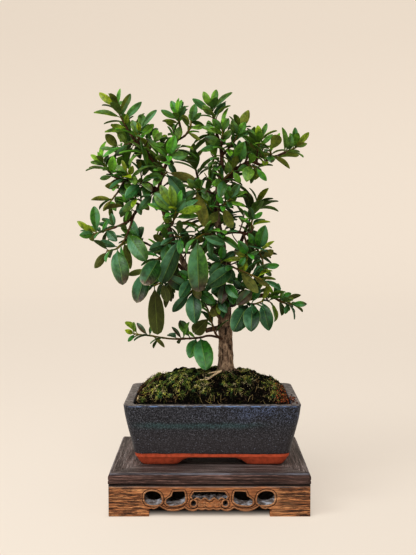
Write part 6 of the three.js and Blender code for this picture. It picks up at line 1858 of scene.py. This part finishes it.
class MakeSoil(bpy.types.Operator):
    """Adds the soil mound with its moss, straw, grains and surface roots"""

    bl_idname = "bonsai.make_soil"
    bl_label = "Soil and moss"

    def execute(self, context):
        sizes, colours = context.scene.bonsai_sizes, context.scene.bonsai_colours
        points, faces = soil_surface()
        mound = new_piece("soil_mound", points, faces, [earth(colours.soil, colours.moss)])
        dress(mound, "soil", "soil")

        x, y, rng = scatter(sizes.moss_tufts, 11, moss_share)
        swell = smooth(rough(level(x, y), 9.0, 2, seed=9), -0.5, 0.7)
        tall = sizes.moss_height * (0.4 + 0.6 * swell) * rng.uniform(0.5, 1, len(x))
        points, faces, tuft = moss_tufts(x, y, rng, 18, 1.1, tall)
        moss = np.array(colours.moss)
        green = np.array([moss * [1.5, 1.4, 1.2, 1], moss, moss * [0.45, 0.6, 0.5, 1],
                          moss * [0.12, 0.2, 0.16, 1], linear(160, 146, 112), linear(58, 84, 50)])
        tones = green[rng.choice(6, len(x), p=(0.2, 0.14, 0.2, 0.3, 0.07, 0.09))][tuft]
        tones[:, :3] *= rng.uniform(0.7, 1.3, (len(tones), 1))
        tones[:, :3] *= 1 + 0.5 * smooth(POT_X - x[tuft], 12, 40)[:, None]
        tints = np.repeat(tones, 4, 0)
        # Each spike near black at its foot and brighter towards its tip: painted shade deep in the cushion.
        tints[:, :3] *= np.tile([0.01, 0.01, 0.01, 2.9], len(tones))[:, None]
        piece = new_piece("moss", points, [faces], [tinted("moss_blades", 0.85)], tints=tints)
        dress(piece, "soil")

        # dry strands thicker to the front, and root hairs at the left end
        for name, count, seed, keep, length, radius, lift, colours_of, roughness in (
            ("straw", sizes.straw, 12, lambda x, y: 0.35 + 0.65 * smooth(-y, -10, 35),
             (1.5, 5), (0.16, 0.3), 1.4,
             (linear(186, 168, 118), linear(148, 124, 82), linear(108, 84, 54)), 0.7),
            ("root_hairs", 420, 13, lambda x, y: smooth(POT_X - x, 42, 64),
             (6, 20), (0.14, 0.3), 3.2,
             (linear(112, 78, 50), linear(74, 52, 36), linear(150, 116, 78)), 0.8),
        ):
            x, y, rng = scatter(count, seed, keep)
            points, faces = lying_strands(x, y, rng, length, radius, lift)
            tints = tints_for(len(x), 18, rng, *colours_of)
            dress(new_piece(name, points, faces, [tinted(name, roughness)], tints=tints), "soil")

        # grains at the right end of the mound, and on the rim beside it
        x, y, rng = scatter(12000, 14, lambda x, y: smooth(x - POT_X, 51, 64) * smooth(-y, -20, 20))
        x = np.append(x, POT_X + POT_HALF[0] - rng.uniform(3, POT_LAND, 46))
        y = np.append(y, rng.uniform(-POT_HALF[1] + 4, -6, 46))
        z = np.where(x < POT_X + POT_HALF[0] - POT_LAND, soil_height(x, y), POT_RIM - 0.1)
        points, faces = crumbs(x, y, z, rng, (0.3, 0.95))
        tints = tints_for(len(x), 6, rng, linear(176, 98, 58), linear(116, 66, 42), linear(48, 34, 28))
        dress(new_piece("grains", points, [faces], [tinted("grain", 0.8)], tints=tints), "soil")

        # the pale root's three forks, which spread from its first point
        rng = np.random.default_rng(15)
        parts = []
        for k in range(3):
            flat = np.array([place(u, w, y)[:2] for u, w, y in PALE_ROOT])
            flat += np.linspace(0, 1, len(flat))[:, None] * [[3.0 * (k - 1), 6.5 * k]]
            flat += rng.normal(0, 0.6, flat.shape)
            points = np.column_stack([flat, soil_height(*flat.T) + 1.6])
            path, r = smooth_run(points, np.linspace(1.15, 0.45, len(points)), 0.8)
            parts.append((*tube(path, r, 8), 0))
        points, faces, _ = gather(parts)
        tints = np.tile(linear(240, 218, 184), (len(points), 1))
        dress(new_piece("pale_root", points, faces, [tinted("dry_root", 0.7)], tints=tints), "soil")
        return {"FINISHED"}


class MakeWood(bpy.types.Operator):
    """Adds the trunk, limbs and roots with their bark"""

    bl_idname = "bonsai.make_wood"
    bl_label = "Trunk and limbs"

    def execute(self, context):
        sizes, colours = context.scene.bonsai_sizes, context.scene.bonsai_colours
        voxel = sizes.bark_voxel * 1
        wood = tree_wood("trunk", voxel, sizes.bark_depth)
        wood.data.materials.append(tree_bark(colours.bark, colours.young_bark))
        inside(wood, "trunk_and_limbs")
        dress(wood, "bark", "trunk_and_limbs")
        return {"FINISHED"}


class MakeLeaves(bpy.types.Operator):
    """Adds every leafy shoot"""

    bl_idname = "bonsai.make_leaves"
    bl_label = "Leafy shoots"

    def execute(self, context):
        sizes = context.scene.bonsai_sizes
        upper, under = leaf_finish("leaf", False), leaf_finish("leaf_underside", True)
        twig_bark = tinted("twig_bark", 0.6, size=0.0012)
        for name, shoots in grow_sprays(sizes.small_leaves, sizes.spur_spacing).items():
            points, faces, slots, uv, tints = shoot_skin(shoots, sizes.leaf_thickness)
            points = np.clip(points, LOW_CORNER + 0.01, HIGH_CORNER - 0.01)
            outline = np.isin(uv[:, 1], (0, 1)) | (uv[:, 0] == 1)
            piece = new_piece(f"shoot_{name}", points, faces, [upper, under, twig_bark],
                              face_material=slots, uv=uv, tints=tints, crisp=outline)
            dress(piece, "leaves", *([] if name.startswith("inner") else [f"spray_{name}"]))
        return {"FINISHED"}


# The camera's focal length, place and downward angle, the picture's gamma, how much of the paper's
# brightness is its own glow, and the radius of the flat floor, of its bend, and the backdrop's height
LENS, CAMERA_AT, CAMERA_DOWN = 58.38, (-1.27, -833.9, 256.0), 3.6
TONE_GAMMA, PAPER_GLOW = 0.8, 0.7
FLOOR, BEND, BACKDROP = 2300, 1100, 2200


class MakeStage(bpy.types.Operator):
    """Adds the pale floor with its backdrop, the soft lights and the camera"""

    bl_idname = "bonsai.make_stage"
    bl_label = "Stage"

    def execute(self, context):
        colours = context.scene.bonsai_colours
        angles = np.linspace(0, math.pi / 2, 24)[1:]
        radius = np.concatenate([np.geomspace(40, FLOOR, 30), FLOOR + BEND * np.sin(angles),
                                 np.full(4, FLOOR + BEND)])
        rise = np.concatenate([np.zeros(30), BEND * (1 - np.cos(angles)),
                               np.linspace(BEND + 200, BACKDROP, 4)])
        turn = 2 * math.pi * np.arange(96) / 96
        points = np.stack([radius[:, None] * np.cos(turn), radius[:, None] * np.sin(turn),
                           np.repeat(rise[:, None], 96, 1)], -1).reshape(-1, 3)
        shader = Shader("plain_paper", roughness=0.9, specular=0.1)
        shader.surface.inputs["Emission Strength"].default_value = PAPER_GLOW
        cloud = shader.noise(0.5, detail=2)
        paper = shader.mix(cloud * 0.04, colours.paper, dimmed(colours.paper, 0.9))
        # No glow under the stand, fading in just beyond its edge: a painted shadow.
        beside = [shader.math("ABSOLUTE", shader.axis(name) - middle) - half * MM
                  for name, middle, half in zip("XY", STAND_CENTRE, STAND_HALF)]
        outside = shader.math("MAXIMUM", *beside)
        glow = shader.mix(shader.between(outside, -0.02, 0.005), (0.0, 0.0, 0.0, 1.0), paper)
        shader.tree.links.new(glow.socket, shader.surface.inputs["Emission Color"])
        paper = shader.multiplied(paper, (1 - PAPER_GLOW,) * 3 + (1.0,))
        floor = new_piece("paper_dish", points, [ring_faces(len(radius), 96), np.arange(96)[None, ::-1]],
                          [shader.finish(paper)])
        floor.active_material.cycles.emission_sampling = "NONE"

        def lamp(name, kind, at, aim, tint, strength, **settings):
            """A light at one place that shines towards another, both in millimetres."""
            data = bpy.data.lights.new(name, kind)
            data.energy = strength
            data.color = tint
            for key, value in settings.items():
                setattr(data, key, value)
            bulb = bpy.data.objects.new(name, data)
            bulb.location = to_frame(np.array(at, float))
            towards = Vector(to_frame(np.array(aim, float))) - bulb.location
            bulb.rotation_euler = towards.to_track_quat("-Z", "Y").to_euler()
            context.scene.collection.objects.link(bulb)

        lamp("daylight", "SUN", (-420, -1500, 2300), (0, 0, 150), (1.0, 0.99, 0.97), 2.0, angle=0.75)
        lamp("window", "AREA", (-700, -500, 900), (0, 0, 220), (0.9, 0.96, 1.0), 8, size=0.5)
        world = bpy.data.worlds.new("even_light")
        world.use_nodes = True
        sky = world.node_tree.nodes["Background"].inputs
        sky["Color"].default_value = (0.93, 0.96, 1.0, 1.0)
        sky["Strength"].default_value = 0.22
        context.scene.world = world
        context.scene.view_settings.view_transform = "Standard"
        context.scene.view_settings.gamma = TONE_GAMMA

        data = bpy.data.cameras.new("photograph")
        data.lens = LENS
        data.sensor_width = 36
        camera = bpy.data.objects.new("photograph", data)
        camera.location = to_frame(np.array(CAMERA_AT))
        camera.rotation_euler = (math.radians(90 - CAMERA_DOWN), 0, 0)
        context.scene.collection.objects.link(camera)
        context.scene.camera = camera
        return {"FINISHED"}


class BONSAI_PT_maker(bpy.types.Panel):
    """Lists the makers of the bonsai's pieces with their sizes and colours"""

    bl_idname = "BONSAI_PT_maker"
    bl_label = "Bonsai"
    bl_space_type = "VIEW_3D"
    bl_region_type = "UI"
    bl_category = "Bonsai"

    def draw(self, context):
        layout = self.layout
        for maker in MAKERS:
            layout.operator(maker.bl_idname)
        for group in (context.scene.bonsai_sizes, context.scene.bonsai_colours):
            box = layout.box()
            for name in group.bl_rna.properties.keys():
                if name not in ("rna_type", "name"):
                    box.prop(group, name)


MAKERS = (MakeStage, MakeBoards, MakeAprons, MakePot, MakeSoil, MakeWood, MakeLeaves)
CLASSES = (BonsaiSizes, BonsaiColours, *MAKERS, BONSAI_PT_maker)


def register():
    for each in CLASSES:
        bpy.utils.register_class(each)
    bpy.types.Scene.bonsai_sizes = bpy.props.PointerProperty(type=BonsaiSizes)
    bpy.types.Scene.bonsai_colours = bpy.props.PointerProperty(type=BonsaiColours)


def unregister():
    del bpy.types.Scene.bonsai_colours
    del bpy.types.Scene.bonsai_sizes
    for each in reversed(CLASSES):
        bpy.utils.unregister_class(each)


def main():
    """Makes every piece in order."""
    register()
    for maker in MAKERS:
        group, name = maker.bl_idname.split(".")
        getattr(getattr(bpy.ops, group), name)()


if __name__ == "__main__":
    main()
